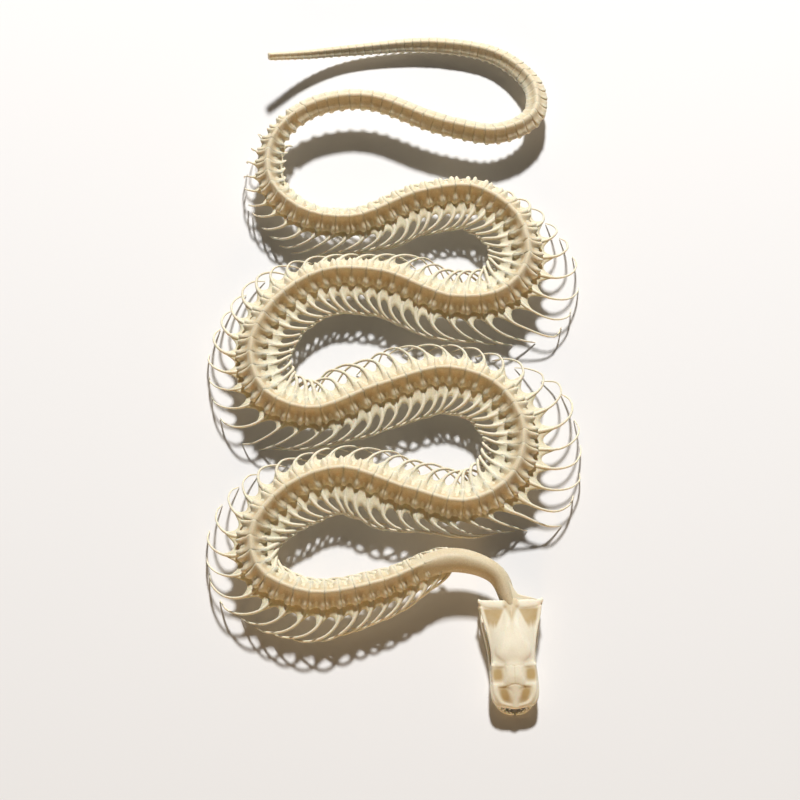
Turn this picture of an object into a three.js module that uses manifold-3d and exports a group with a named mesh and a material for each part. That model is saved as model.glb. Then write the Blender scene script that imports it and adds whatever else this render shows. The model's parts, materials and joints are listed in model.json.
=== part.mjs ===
// Skeleton of a stout-bodied snake lying in five flat bends, in millimetres.
// +Z is up, the skull points along -Y, and the ribs and jaws rest on the plane z = 0.
import * as THREE from 'three';
import Module from 'manifold-3d';
import { mergeVertices } from 'three/addons/utils/BufferGeometryUtils.js';

// ---------------------------------------------------------------- driving sizes

// Crest of the backbone from the back of the skull to the tip of the tail: [x, y, height].
const CREST = [
  [47, -101, 13.2], [41, -87, 15.9], [22, -81, 18.5], [-9, -92.6, 20.1], [-38, -97, 20.2], [-59, -87, 20.2],
  [-63.3, -70, 20.2], [-50, -50, 20.2], [-26, -40.6, 20.2], [3, -49.8, 20.1], [29, -55.6, 20.1], [48, -44, 20.1],
  [53.9, -22, 20.1], [43.6, -1.6, 20.1], [21, 7.3, 20.1], [-9, -0.9, 20.1], [-39, -12, 20.0], [-59, -4, 20.0],
  [-66.4, 16, 20.0], [-58, 39, 20.0], [-36, 55.3, 20.0], [-9, 55.7, 20.0], [24, 43, 19.9], [46.6, 46.6, 19.9],
  [58, 63, 19.9], [53.4, 85, 19.9], [35, 99.3, 19.9], [10, 97.2, 19.9], [-22, 84, 19.9], [-45, 88, 19.8],
  [-60, 104, 19.8], [-59, 127, 19.8], [-42, 144.3, 19.8], [-16, 149, 19.7], [19, 135.8, 19.3], [46, 131.3, 18.3],
  [62.7, 141.7, 16.2], [63.6, 160.8, 12.4], [47.4, 178.9, 9.9], [17, 186.1, 8.9], [-25, 182.5, 8.6],
  [-44, 177.6, 12.5], [-62, 170.4, 21.2],
];

// Middle of the whole model's outline on the floor, which becomes the origin.
const MIDDLE_X = -2.42;
const MIDDLE_Y = 21.92;

// The tables below run along the crest: [distance behind the skull, value].
const VERTEBRA_LENGTH = [
  [0, 4.8], [60, 6.4], [150, 6.75], [650, 6.75], [800, 5.7], [900, 4.8], [1000, 4.0], [1080, 3.6],
];
const COLUMN_HALF_WIDTH = [
  [0, 3.9], [40, 6.2], [120, 7.0], [680, 7.0], [800, 5.6], [900, 4.8], [1000, 3.5], [1045, 2.6], [1080, 2.1],
];
const COLUMN_HEIGHT = [
  [0, 7.0], [60, 10.2], [140, 11.0], [700, 11.0], [800, 9.6], [900, 8.0], [1000, 5.5], [1045, 4.1], [1080, 3.3],
];
// How far out a rib reaches where the body runs straight, on the right side and on the left.
const RIGHT_REACH = [
  [0, 5.5], [45, 8], [62, 11.5], [95, 16.5], [150, 17.4], [640, 17.4], [730, 15], [800, 8.5],
];
const LEFT_REACH = [[0, 5.5], [40, 7.8], [125, 9], [165, 17.4], [600, 17.4], [655, 8.8], [800, 7.2]];
const FREE_REACH = 10;             // ribs longer than this spread further on the outside of a bend
// 1 where a rib has its full sweep and reaches the floor, 0 where it is a short stub.
const RIB_FULLNESS = [[0, 0.1], [22, 0.2], [58, 1], [735, 1], [800, 0.35]];

const MIDPLANE_GAP = 0.3;          // between the left and right halves of a length
const LENGTH_GAP = 0.3;            // between one length and the next
const RIB_THICKNESS = 1.25;        // along the body
const RIB_DEPTH = 1.0;             // through the wall of the cage
const RIB_ROOT_WIDTH = 2.6;        // flared head of a rib
const FULL_SWEEP = 22.5;           // how far a full rib's tip lies behind its head
const OUTER_STRETCH_RIGHT = 1.2;   // a rib on the outside of a tight bend reaches this much further
const OUTER_STRETCH_LEFT = 1.7;    // the same on the left side
const OUTER_SWEEP = 0.58;          // and its sweep is shortened to this share
const SPREAD_LAG = 9;              // the ribs spread this far after the bend begins
const INNER_REACH_LIMIT = 0.7;     // of the bend's radius, on the inside of a bend
const STRETCH_CLEARANCE = 1;       // from the middle between two stretches to a rib's middle line
const OTHER_STRETCH = 70;          // stations further apart than this belong to different stretches
const FIRST_RIB = 2;               // the first two vertebrae carry no ribs
const STUB_SWEEP = 7;              // the same for the shortest stub

// Lengths of the column between bend tops, by distance behind the skull.
const TRUNK_CUTS = [4.7, 64, 137, 293, 450, 612, 772, 798];
const TRUNK_NAMES = ['neck', 'trunk_1', 'trunk_2', 'trunk_3', 'trunk_4', 'trunk_5', 'trunk_6'];
const TAIL_CUTS = [798, 868, 960, 1080];
const TAIL_NAMES = ['tail_base', 'tail_bend', 'tail_tip'];

const SKULL_YAW = 0.03;            // radians off the -Y direction

const BONE = { color: 0xe6dabd, roughness: 0.62, metalness: 0 };
const COLUMN_BONE = { color: 0xc6ab78, roughness: 0.6, metalness: 0 };

// ---------------------------------------------------------------- small helpers

function valueAt(table, x) {
  if (x <= table[0][0]) return table[0][1];
  for (let i = 1; i < table.length; i += 1) {
    const [x1, y1] = table[i];
    const [x0, y0] = table[i - 1];
    if (x <= x1) return y0 + ((y1 - y0) * (x - x0)) / (x1 - x0);
  }
  return table[table.length - 1][1];
}

// A growing list of corners and triangles that ends as one closed geometry.
class Shell {
  constructor() {
    this.corners = [];
    this.faces = [];
  }

  corner(point) {
    this.corners.push(point.x, point.y, point.z);
    return this.corners.length / 3 - 1;
  }

  triangle(a, b, c) {
    this.faces.push(a, b, c);
  }

  quad(a, b, c, d) {
    this.triangle(a, b, c);
    this.triangle(a, c, d);
  }

  // Closes two rings with the same number of corners, wound so that the band faces out.
  band(ringA, ringB) {
    const n = ringA.length;
    for (let i = 0; i < n; i += 1) {
      const j = (i + 1) % n;
      this.quad(ringA[i], ringA[j], ringB[j], ringB[i]);
    }
  }

  cap(ring, flip) {
    for (let i = 1; i < ring.length - 1; i += 1) {
      if (flip) this.triangle(ring[0], ring[i + 1], ring[i]);
      else this.triangle(ring[0], ring[i], ring[i + 1]);
    }
  }

  geometry() {
    const geometry = new THREE.BufferGeometry();
    geometry.setAttribute('position', new THREE.Float32BufferAttribute(this.corners, 3));
    geometry.setIndex(this.faces);
    return geometry;
  }
}

// The same triangles wound the other way.
function turned(faces) {
  const out = [];
  for (let i = 0; i < faces.length; i += 3) out.push(faces[i], faces[i + 2], faces[i + 1]);
  return out;
}

function signedVolume(geometry) {
  const p = geometry.attributes.position;
  const index = geometry.index.array;
  const a = new THREE.Vector3();
  const b = new THREE.Vector3();
  const c = new THREE.Vector3();
  let sum = 0;
  for (let i = 0; i < index.length; i += 3) {
    a.fromBufferAttribute(p, index[i]);
    b.fromBufferAttribute(p, index[i + 1]);
    c.fromBufferAttribute(p, index[i + 2]);
    sum += a.dot(b.cross(c)) / 6;
  }
  return sum;
}

function facingOut(geometry) {
  if (signedVolume(geometry) < 0) geometry.setIndex(turned(geometry.index.array));
  return geometry;
}

// A closed body through rings of corners, each ring with the same number.
function loft(rings) {
  const shell = new Shell();
  const numbered = rings.map((ring) => ring.map((point) => shell.corner(point)));
  for (let i = 1; i < numbered.length; i += 1) shell.band(numbered[i - 1], numbered[i]);
  shell.cap(numbered[0], true);
  shell.cap(numbered[numbered.length - 1], false);
  return facingOut(shell.geometry());
}

// ---------------------------------------------------------------- the crest line

const curve = new THREE.CatmullRomCurve3(
  CREST.map(([x, y, z]) => new THREE.Vector3(x - MIDDLE_X, y - MIDDLE_Y, z)),
  false,
  'centripetal',
);
curve.arcLengthDivisions = 4000;
const CREST_LENGTH = curve.getLength();

function placeAt(distance) {
  return curve.getPointAt(THREE.MathUtils.clamp(distance / CREST_LENGTH, 0, 1));
}

// Horizontal direction towards the tail.
function tangentAt(distance) {
  const span = 1.5;
  const from = placeAt(Math.max(distance - span, 0));
  const to = placeAt(Math.min(distance + span, CREST_LENGTH));
  return to.sub(from).setZ(0).normalize();
}

// Sideways direction: side +1 is on the left of a walk from skull to tail.
function sideAt(distance, side) {
  const tangent = tangentAt(distance);
  return new THREE.Vector3(-tangent.y * side, tangent.x * side, 0);
}

// Turn of the crest per millimetre, positive when it turns to the left on the way to the tail.
function turnAt(distance) {
  const span = 9;
  const before = tangentAt(Math.max(distance - span, 0));
  const after = tangentAt(Math.min(distance + span, CREST_LENGTH));
  const cross = before.x * after.y - before.y * after.x;
  return Math.asin(THREE.MathUtils.clamp(cross, -1, 1)) / (2 * span);
}

// A point beside the column. Part of the sweep follows the bend and part runs straight on.
function beside(distance, side, back, lateral, height) {
  const inward = THREE.MathUtils.clamp(turnAt(distance) * side * 25, -1, 1);
  const follow = 0.72 + 0.24 * inward;
  const station = distance + follow * back;
  const point = placeAt(station);
  point.addScaledVector(sideAt(station, side), lateral);
  point.addScaledVector(tangentAt(station), (1 - follow) * back);
  return point.setZ(height);
}

// ---------------------------------------------------------------- vertebrae and ribs

// Joints between vertebrae, as distances behind the skull.
const JOINTS = [TRUNK_CUTS[0]];
while (JOINTS[JOINTS.length - 1] < CREST_LENGTH) {
  const last = JOINTS[JOINTS.length - 1];
  JOINTS.push(last + valueAt(VERTEBRA_LENGTH, last));
}

function nearestJoint(distance) {
  let best = 0;
  JOINTS.forEach((joint, i) => {
    if (Math.abs(joint - distance) < Math.abs(JOINTS[best] - distance)) best = i;
  });
  return best;
}

// Corners of half of the column's section: crest, shoulder, lower edge and keel.
function halfSection(distance, side) {
  const centre = placeAt(distance);
  const width = valueAt(COLUMN_HALF_WIDTH, distance);
  const depth = valueAt(COLUMN_HEIGHT, distance);
  const outline = [
    [MIDPLANE_GAP / 2, 0],
    [width, 0.42 * depth],
    [0.62 * width, 0.95 * depth],
    [MIDPLANE_GAP / 2, depth],
  ];
  return outline.map(([lateral, drop]) => beside(distance, side, 0, lateral, centre.z - drop));
}

function mix(a, b, t) {
  return a.clone().lerp(b, t);
}

// Half of the room between one stretch of the body and the stretch beside it.
function roomAt(distance, side) {
  const here = placeAt(distance);
  const sideways = sideAt(distance, side);
  let room = Infinity;
  for (let other = 0; other < CREST_LENGTH; other += 4) {
    if (Math.abs(other - distance) < OTHER_STRETCH) continue;
    const apart = placeAt(other).sub(here).setZ(0);
    if (apart.dot(sideways) > 0.6 * apart.length()) room = Math.min(room, apart.length() / 2);
  }
  return room - STRETCH_CLEARANCE;
}

// From 0 where the body runs straight to 1 on the outside of a tight bend.
function openness(distance, side) {
  const start = Math.max(distance - SPREAD_LAG, 0);
  return THREE.MathUtils.clamp(-turnAt(start) * side * 25, 0, 1);
}

// How far out a rib may reach, less on the inside of a tight bend and beside another stretch.
function reachAt(distance, side) {
  const inward = Math.max(turnAt(distance) * side, 1e-6);
  const limit = Math.min(INNER_REACH_LIMIT / inward, roomAt(distance, side));
  const stretch = side > 0 ? OUTER_STRETCH_RIGHT : OUTER_STRETCH_LEFT;
  const straight = valueAt(side > 0 ? RIGHT_REACH : LEFT_REACH, distance);
  const spread = (stretch - 1) * openness(distance, side) * Math.max(straight - FREE_REACH, 0) * 2.35;
  return Math.min(straight + spread, limit);
}

// Middle line of one rib beyond its head: shoulder, flank and tip.
function ribLine(distance, side) {
  const crest = placeAt(distance).z;
  const full = valueAt(RIB_FULLNESS, distance);
  const open = openness(distance, side);
  const sweep = (STUB_SWEEP + (FULL_SWEEP - STUB_SWEEP) * full) * (1 - (1 - OUTER_SWEEP) * open);
  const depth = valueAt(COLUMN_HEIGHT, distance);
  const tip = (1 - full) * (crest - depth) * 0.9;
  const fall = crest - tip;
  const stations = [
    [0.22, 0.91 - 0.2 * open, 0.43],
    [0.66, 0.97 - 0.03 * open, 0.7],
    [1, 0.72 + 0.26 * open, 1],
  ];
  return stations.map(([back, out, drop]) => {
    const reach = reachAt(distance + back * sweep, side);
    return beside(distance, side, back * sweep, out * reach, crest - drop * fall);
  });
}

// Three corners round a rib's middle line: two on the outer face, one inside.
function ribRing(centre, along, outward, width, depth) {
  const across = along.clone().normalize();
  return [
    centre.clone().addScaledVector(across, -width / 2).addScaledVector(outward, depth / 3),
    centre.clone().addScaledVector(across, width / 2).addScaledVector(outward, depth / 3),
    centre.clone().addScaledVector(outward, (-2 * depth) / 3),
  ];
}

// Grows one rib out of the side face between two sections of the column.
function growRib(shell, upper0, upper1, lower1, lower0, points, distance, side) {
  const [u0, u1, l1, l0] = points;
  const middleTop = mix(u0, u1, 0.5);
  const middleLow = mix(l0, l1, 0.5);
  const span = u0.distanceTo(u1);
  const half = Math.min(RIB_ROOT_WIDTH, 0.6 * span) / 2;
  const along = u1.clone().sub(u0).normalize();
  const top = mix(middleTop, middleLow, 0.12);
  const low = mix(middleTop, middleLow, 0.72);
  const root = [
    shell.corner(top.clone().addScaledVector(along, -half)),
    shell.corner(top.clone().addScaledVector(along, half)),
    shell.corner(low),
  ];
  shell.triangle(upper0, upper1, root[1]);
  shell.triangle(upper0, root[1], root[0]);
  shell.triangle(upper1, lower1, root[1]);
  shell.triangle(lower1, root[2], root[1]);
  shell.triangle(lower1, lower0, root[2]);
  shell.triangle(lower0, upper0, root[0]);
  shell.triangle(lower0, root[0], root[2]);
  const line = ribLine(distance, side);
  const headPoint = mix(top, low, 0.4);
  let previous = root;
  line.forEach((centre, i) => {
    const before = i === 0 ? headPoint : line[i - 1];
    const after = i === line.length - 1 ? centre : line[i + 1];
    const run = after.clone().sub(before).normalize();
    const station = distance + centre.clone().sub(placeAt(distance)).dot(tangentAt(distance));
    const tangent = tangentAt(station);
    const atTip = i === line.length - 1;
    const width = atTip ? RIB_THICKNESS * 0.8 : RIB_THICKNESS;
    let across = tangent.clone().addScaledVector(run, -tangent.dot(run)).normalize();
    let outward = new THREE.Vector3().crossVectors(run, across).multiplyScalar(-side).normalize();
    if (atTip) {
      across = tangent.clone();
      outward = sideAt(station, side);
    }
    const ring = ribRing(centre, across, outward, width, atTip ? 0.85 : RIB_DEPTH);
    const numbered = ring.map((point) => shell.corner(point));
    shell.band(previous, numbered);
    previous = numbered;
  });
  shell.cap(previous, false);
}

// One side of one length of the column, with that side's ribs.
function columnHalf(firstJoint, lastJoint, side) {
  const shell = new Shell();
  const stations = [];
  for (let i = firstJoint; i <= lastJoint; i += 1) stations.push(JOINTS[i]);
  stations[0] += LENGTH_GAP / 2;
  stations[stations.length - 1] -= LENGTH_GAP / 2;
  const sections = stations.map((distance) => halfSection(distance, side));
  const rings = sections.map((section) => section.map((point) => shell.corner(point)));
  for (let i = 1; i < rings.length; i += 1) {
    const [crest0, shoulder0, edge0, keel0] = rings[i - 1];
    const [crest1, shoulder1, edge1, keel1] = rings[i];
    shell.quad(crest0, crest1, shoulder1, shoulder0);
    shell.quad(edge0, edge1, keel1, keel0);
    shell.quad(keel0, keel1, crest1, crest0);
    const joint = firstJoint + i - 1;
    const points = [sections[i - 1][1], sections[i][1], sections[i][2], sections[i - 1][2]];
    if (joint < FIRST_RIB) {
      shell.quad(shoulder0, shoulder1, edge1, edge0);
    } else {
      const middle = (stations[i - 1] + stations[i]) / 2;
      growRib(shell, shoulder0, shoulder1, edge1, edge0, points, middle, side);
    }
  }
  shell.quad(...rings[0]);
  const end = rings[rings.length - 1];
  shell.quad(end[3], end[2], end[1], end[0]);
  return facingOut(shell.geometry());
}

// A length of the tail, with a short process on each side of every vertebra.
function tailLength(firstJoint, lastJoint) {
  const rings = [];
  const section = (distance, spread) => {
    const centre = placeAt(distance);
    const width = valueAt(COLUMN_HALF_WIDTH, distance) * spread;
    const depth = valueAt(COLUMN_HEIGHT, distance);
    return [
      centre,
      beside(distance, 1, 0, width, centre.z - 0.5 * depth),
      centre.clone().setZ(centre.z - depth),
      beside(distance, -1, 0, width, centre.z - 0.5 * depth),
    ];
  };
  for (let i = firstJoint; i < lastJoint; i += 1) {
    const start = JOINTS[i] + (i === firstJoint ? LENGTH_GAP / 2 : 0);
    rings.push(section(start, 0.55));
    rings.push(section(mixNumber(JOINTS[i], JOINTS[i + 1], 0.55), 1));
  }
  rings.push(section(Math.min(JOINTS[lastJoint] - LENGTH_GAP / 2, CREST_LENGTH - 0.1), 0.5));
  return loft(rings);
}

function mixNumber(a, b, t) {
  return a + (b - a) * t;
}

// ---------------------------------------------------------------- skull
// Skull sizes are [half width or x, distance forward of the occiput, height above the floor].

const wasm = await Module();
wasm.setup();

function toSolid(geometry) {
  const bare = geometry.clone();
  bare.deleteAttribute('normal');
  bare.deleteAttribute('uv');
  const merged = mergeVertices(bare, 1e-4);
  const mesh = new wasm.Mesh({
    numProp: 3,
    vertProperties: new Float32Array(merged.attributes.position.array),
    triVerts: new Uint32Array(merged.index.array),
  });
  return new wasm.Manifold(mesh);
}

function toGeometry(solid) {
  const mesh = solid.getMesh();
  const geometry = new THREE.BufferGeometry();
  geometry.setAttribute('position', new THREE.Float32BufferAttribute(mesh.vertProperties, 3));
  geometry.setIndex(Array.from(mesh.triVerts));
  return geometry;
}

function joined(geometries) {
  return toGeometry(geometries.map(toSolid).reduce((all, next) => all.add(next)));
}

// Braincase, frontals and nasals as one body: [forward, half width, top, bottom].
const CRANIUM_SECTIONS = [
  [-3.7, 2.0, 12.2, 8.8],
  [0, 4.3, 13.0, 7.2],
  [4, 5.4, 13.4, 6.4],
  [9, 5.9, 14.0, 6.1],
  [15, 7.0, 14.2, 6.1],
  [21, 6.9, 13.8, 6.4],
  [24.6, 5.2, 13.3, 6.8],
  [26.6, 3.9, 13.0, 7.0],
  [31, 3.8, 12.5, 7.0],
  [33.5, 4.6, 11.6, 6.8],
  [36.5, 2.6, 10.5, 6.4],
  [40.5, 2.0, 8.9, 5.6],
  [43.6, 1.9, 7.4, 4.7],
];

// Ten corners round a skull section.
function skullRing([forward, half, top, bottom]) {
  const tall = top - bottom;
  const side = [[0.42, 0], [0.84, 0.2], [1, 0.5], [0.78, 0.82], [0.34, 1]];
  const right = side.map(([out, drop]) => new THREE.Vector3(out * half, forward, top - drop * tall));
  const left = side.map(([out, drop]) => new THREE.Vector3(-out * half, forward, top - drop * tall)).reverse();
  return [...right, ...left];
}

// A bar through points, each [x, forward, z, width, height], with a four-cornered section.
// Its ends and joints are cut square to the direction in which the bar mostly runs.
function bar(points, runs = 'forward') {
  return loft(points.map(([x, forward, z, width, height]) => {
    const corners = [[-1, -1], [1, -1], [1, 1], [-1, 1]];
    return corners.map(([a, b]) => {
      if (runs === 'forward') return new THREE.Vector3(x + (a * width) / 2, forward, z + (b * height) / 2);
      if (runs === 'across') return new THREE.Vector3(x, forward + (a * width) / 2, z + (b * height) / 2);
      return new THREE.Vector3(x + (a * width) / 2, forward + (b * height) / 2, z);
    });
  }));
}

// A tooth hanging from a jaw bar, curved back a little.
function tooth(x, forward, z, length) {
  const geometry = new THREE.ConeGeometry(0.42, length, 4);
  geometry.rotateX(-Math.PI / 2 - 0.35);
  geometry.translate(x, forward, z - length / 2 + 0.35);
  return geometry;
}

const MAXILLA = [
  [8.3, 19.5, 6.3, 1.2, 1.5],
  [9.0, 25, 6.5, 1.7, 2.0],
  [9.6, 31, 6.6, 2.0, 2.4],
  [9.7, 36, 6.5, 2.0, 2.8],
  [8.6, 40, 6.1, 2.2, 2.8],
  [6.6, 42.2, 5.8, 2.4, 2.4],
];
const PREMAXILLA = [
  [-7.0, 41.9, 5.8, 1.8, 2.0],
  [-3.6, 43.4, 5.7, 2.0, 2.0],
  [0, 43.9, 5.7, 2.0, 2.0],
  [3.6, 43.4, 5.7, 2.0, 2.0],
  [7.0, 41.9, 5.8, 1.8, 2.0],
];
const POSTORBITAL = [
  [3.6, 25.2, 12.2, 2.2, 1.4],
  [6.8, 25.0, 11.7, 2.2, 1.5],
  [8.9, 25.1, 10.2, 2.0, 1.6],
];
const POSTORBITAL_LEG = [
  [8.8, 25.1, 10.6, 1.4, 1.7],
  [9.2, 25.6, 8.2, 1.3, 1.5],
  [9.1, 26.2, 6.4, 1.4, 1.6],
];
const PREFRONTAL = [
  [3.6, 33.2, 10.6, 2.6, 2.6],
  [6.6, 33.0, 9.8, 2.6, 3.0],
  [9.5, 33.2, 7.6, 2.8, 3.2],
];
// Dried cheek between the braincase and the outer bars: [x, forward, z, width, height].
const CHEEK = [
  [7.6, 0.6, 9.2, 8.6, 0.9],
  [7.6, 7, 8.8, 7.6, 0.9],
  [7.4, 14, 8.2, 4.4, 0.9],
  [7.4, 21.5, 7.6, 2.8, 0.9],
];
const SUPRATEMPORAL = [
  [2.4, 1.6, 12.4, 2.6, 1.3],
  [6.4, -0.6, 12.3, 2.6, 1.4],
  [10.2, -2.0, 11.7, 2.4, 1.6],
  [12.6, -2.6, 10.8, 2.2, 1.6],
];
const PTERYGOID = [
  [10.6, 0.4, 5.4, 1.2, 1.2],
  [6.2, 12, 5.4, 1.8, 1.2],
  [4.4, 24, 5.6, 1.6, 1.2],
  [3.4, 34, 6.7, 1.4, 3.2],
];
const QUADRATE = [
  [12.7, -2.0, 9.7, 1.5, 3.0],
  [12.9, -1.8, 7.2, 1.3, 2.2],
  [12.6, -2.6, 3.95, 2.4, 1.8],
];
const MANDIBLE = [
  [12.4, -4.2, 2.2, 1.6, 2.2],
  [12.4, -1.0, 1.9, 2.0, 3.8],
  [11.9, 5, 2.3, 1.7, 4.6],
  [10.5, 13, 2.2, 1.7, 4.4],
  [9.5, 21, 1.7, 1.8, 3.4],
  [9.3, 30, 1.4, 1.8, 2.8],
  [8.8, 36.5, 1.35, 1.8, 2.7],
  [6.4, 41, 1.3, 2.0, 2.6],
  [1.8, 43.3, 1.2, 2.6, 2.4],
];
const UPPER_TEETH = [[9.3, 27], [9.6, 30], [9.7, 33], [9.5, 36], [8.8, 38.8], [7.4, 41]];

function mirrored(points) {
  return points.map(([x, ...rest]) => [-x, ...rest]);
}

function cranium() {
  const parts = [loft(CRANIUM_SECTIONS.map(skullRing)), bar(PREMAXILLA, 'across')];
  for (const flip of [(points) => points, mirrored]) {
    parts.push(bar(flip(MAXILLA)));
    parts.push(bar(flip(POSTORBITAL), 'across'));
    parts.push(bar(flip(POSTORBITAL_LEG), 'upright'));
    parts.push(bar(flip(PREFRONTAL), 'across'));
    parts.push(bar(flip(CHEEK)));
    parts.push(bar(flip(SUPRATEMPORAL), 'across'));
    parts.push(bar(flip(PTERYGOID)));
    for (const [x, forward] of flip(UPPER_TEETH)) parts.push(tooth(x, forward, 5.2, 2.1));
  }
  return joined(parts);
}

// ---------------------------------------------------------------- assembly

const skeleton = new THREE.Group();

function addMesh(parent, name, geometry, finish) {
  const mesh = new THREE.Mesh(geometry, new THREE.MeshStandardMaterial(finish));
  mesh.name = name;
  parent.add(mesh);
  return mesh;
}

const skull = new THREE.Group();
skull.position.set(CREST[0][0] - MIDDLE_X, CREST[0][1] - MIDDLE_Y, 0);
skull.rotation.z = Math.PI + SKULL_YAW;
skeleton.add(skull);

addMesh(skull, 'cranium', cranium(), BONE);
addMesh(skull, 'quadrate_right', bar(QUADRATE, 'upright'), BONE);
addMesh(skull, 'quadrate_left', bar(mirrored(QUADRATE), 'upright'), BONE);
addMesh(skull, 'mandible_right', bar(MANDIBLE), BONE);
addMesh(skull, 'mandible_left', bar(mirrored(MANDIBLE)), BONE);

TRUNK_NAMES.forEach((name, i) => {
  const first = nearestJoint(TRUNK_CUTS[i]);
  const last = nearestJoint(TRUNK_CUTS[i + 1]);
  addMesh(skeleton, `${name}_left`, columnHalf(first, last, -1), COLUMN_BONE);
  addMesh(skeleton, `${name}_right`, columnHalf(first, last, 1), COLUMN_BONE);
});

TAIL_NAMES.forEach((name, i) => {
  const first = nearestJoint(TAIL_CUTS[i]);
  const last = nearestJoint(TAIL_CUTS[i + 1]);
  addMesh(skeleton, name, tailLength(first, last), COLUMN_BONE);
});

export default skeleton;
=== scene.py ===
"""Finish of a snake skeleton lying in flat bends: bones, dried tissue, floor, light and camera.

Lengths are worked out in millimetres and become metres when a mesh is made.
"""

import json
import logging
import math
from dataclasses import dataclass, field
from enum import Enum

import bmesh
import bpy
import numpy as np
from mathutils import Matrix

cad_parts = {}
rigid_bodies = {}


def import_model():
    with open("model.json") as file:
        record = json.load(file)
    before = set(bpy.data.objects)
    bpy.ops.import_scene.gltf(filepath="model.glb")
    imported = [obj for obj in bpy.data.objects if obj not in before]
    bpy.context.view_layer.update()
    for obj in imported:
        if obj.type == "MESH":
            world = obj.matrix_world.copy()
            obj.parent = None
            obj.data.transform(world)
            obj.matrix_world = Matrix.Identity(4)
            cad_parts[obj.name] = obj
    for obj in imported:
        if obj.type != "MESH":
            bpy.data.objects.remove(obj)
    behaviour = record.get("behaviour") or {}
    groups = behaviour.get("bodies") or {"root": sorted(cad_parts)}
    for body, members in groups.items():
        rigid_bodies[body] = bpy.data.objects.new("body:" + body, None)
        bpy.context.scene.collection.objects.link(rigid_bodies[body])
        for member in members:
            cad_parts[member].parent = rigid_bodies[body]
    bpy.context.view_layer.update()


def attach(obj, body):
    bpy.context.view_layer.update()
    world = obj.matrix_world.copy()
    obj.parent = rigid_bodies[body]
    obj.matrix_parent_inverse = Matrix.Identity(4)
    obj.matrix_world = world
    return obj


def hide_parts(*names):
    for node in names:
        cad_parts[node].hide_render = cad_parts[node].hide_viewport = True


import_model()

LOG = logging.getLogger("snake_skeleton")
MM = 0.001
BODY = "root"

# The crest of the backbone from the skull to the tip of the tail: x, y, height.
CREST = (
    (47, -101, 13.2), (41, -87, 15.9), (22, -81, 18.5), (-9, -92.6, 20.1), (-38, -97, 20.2),
    (-59, -87, 20.2), (-63.3, -70, 20.2), (-50, -50, 20.2), (-26, -40.6, 20.2), (3, -49.8, 20.1),
    (29, -55.6, 20.1), (48, -44, 20.1), (53.9, -22, 20.1), (43.6, -1.6, 20.1), (21, 7.3, 20.1),
    (-9, -0.9, 20.1), (-39, -12, 20.0), (-59, -4, 20.0), (-66.4, 16, 20.0), (-58, 39, 20.0),
    (-36, 55.3, 20.0), (-9, 55.7, 20.0), (24, 43, 19.9), (46.6, 46.6, 19.9), (58, 63, 19.9),
    (53.4, 85, 19.9), (35, 99.3, 19.9), (10, 97.2, 19.9), (-22, 84, 19.9), (-45, 88, 19.8),
    (-60, 104, 19.8), (-59, 127, 19.8), (-42, 144.3, 19.8), (-16, 149, 19.7), (19, 135.8, 19.3),
    (46, 131.3, 18.3), (62.7, 141.7, 16.2), (63.6, 160.8, 12.4), (47.4, 178.9, 9.9), (17, 186.1, 8.9),
    (-25, 182.5, 8.6), (-44, 177.6, 12.5), (-62, 170.4, 21.2),
)
MIDDLE = (-2.42, 21.92)

# Tables along the crest: distance behind the skull, value.
VERTEBRA_LENGTH = (
    (0, 4.8), (60, 6.4), (150, 6.75), (650, 6.75), (800, 5.7), (900, 4.8), (1000, 4.0), (1080, 3.6),
)
COLUMN_HALF_WIDTH = (
    (0, 3.9), (40, 6.2), (120, 7.0), (680, 7.0), (800, 5.6), (900, 4.8), (1000, 3.5), (1045, 2.6),
    (1080, 2.1),
)
COLUMN_HEIGHT = (
    (0, 7.0), (60, 10.2), (140, 11.0), (700, 11.0), (800, 9.6), (900, 8.0), (1000, 5.5), (1045, 4.1),
    (1080, 3.3),
)
RIGHT_REACH = ((0, 5.5), (45, 8), (62, 11.5), (95, 16.5), (150, 17.4), (640, 17.4), (730, 15), (800, 8.5))
LEFT_REACH = ((0, 5.5), (40, 7.8), (125, 9), (165, 17.4), (600, 17.4), (655, 8.8), (800, 7.2))
FREE_REACH = 10.0
RIB_FULLNESS = ((0, 0.1), (22, 0.2), (58, 1), (735, 1), (800, 0.35))

FULL_SWEEP = 22.5
STUB_SWEEP = 7.0
OUTER_SWEEP = 0.58
SPREAD_LAG = 9.0
OUTER_STRETCH_RIGHT = 1.2
OUTER_STRETCH_LEFT = 1.7
INNER_REACH_LIMIT = 0.7
STRETCH_CLEARANCE = 1.0
OTHER_STRETCH = 70.0
FIRST_RIB = 33.0
LAST_RIB = 784.0
NECK_COVER = ((0, 1.04), (12, 1.16), (30, 1.24), (42, 1.15), (55, 1.0))
BONE_FULLNESS = (
    (0, 0.74), (30, 0.84), (52, 1.0), (800, 1.05), (860, 1.16), (930, 1.28), (1000, 1.34), (1080, 1.15),
)
TRUNK_CUTS = (4.7, 64, 137, 293, 450, 612, 772, 798)
TRUNK_NAMES = ("neck", "trunk_1", "trunk_2", "trunk_3", "trunk_4", "trunk_5", "trunk_6")
TAIL_CUTS = (798, 868, 960, 1080)
TAIL_NAMES = ("tail_base", "tail_bend", "tail_tip")

# A bend of this radius or less counts as tight.
TIGHT_BEND = 25
SPREAD_GAIN = 2.35
# The size that the rings of a vertebra are drawn at.
RING_HALF_WIDTH = 7
RING_HEIGHT = 11
BONE_LENGTH_SHARE = 0.97
BONE_LEAN = 0.018
# How far the tissue runs on past its length of the body, and past the first vertebra under the skull.
SHEATH_OVERLAP = 0.6
SHEATH_UNDER_SKULL = 8.2
NECK_TINT = 0.32
# The lowest middle of a rib's tip, which keeps the tip on the floor.
RIB_TIP_HEIGHT = 0.45
RIB_SEED = 11
WEB_HALF_THICKNESS = 0.22
NAPE_SHEET_LENGTH = 17.0
FLOOR_DROP = 0.02
SKULL_YAW = 0.03

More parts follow.
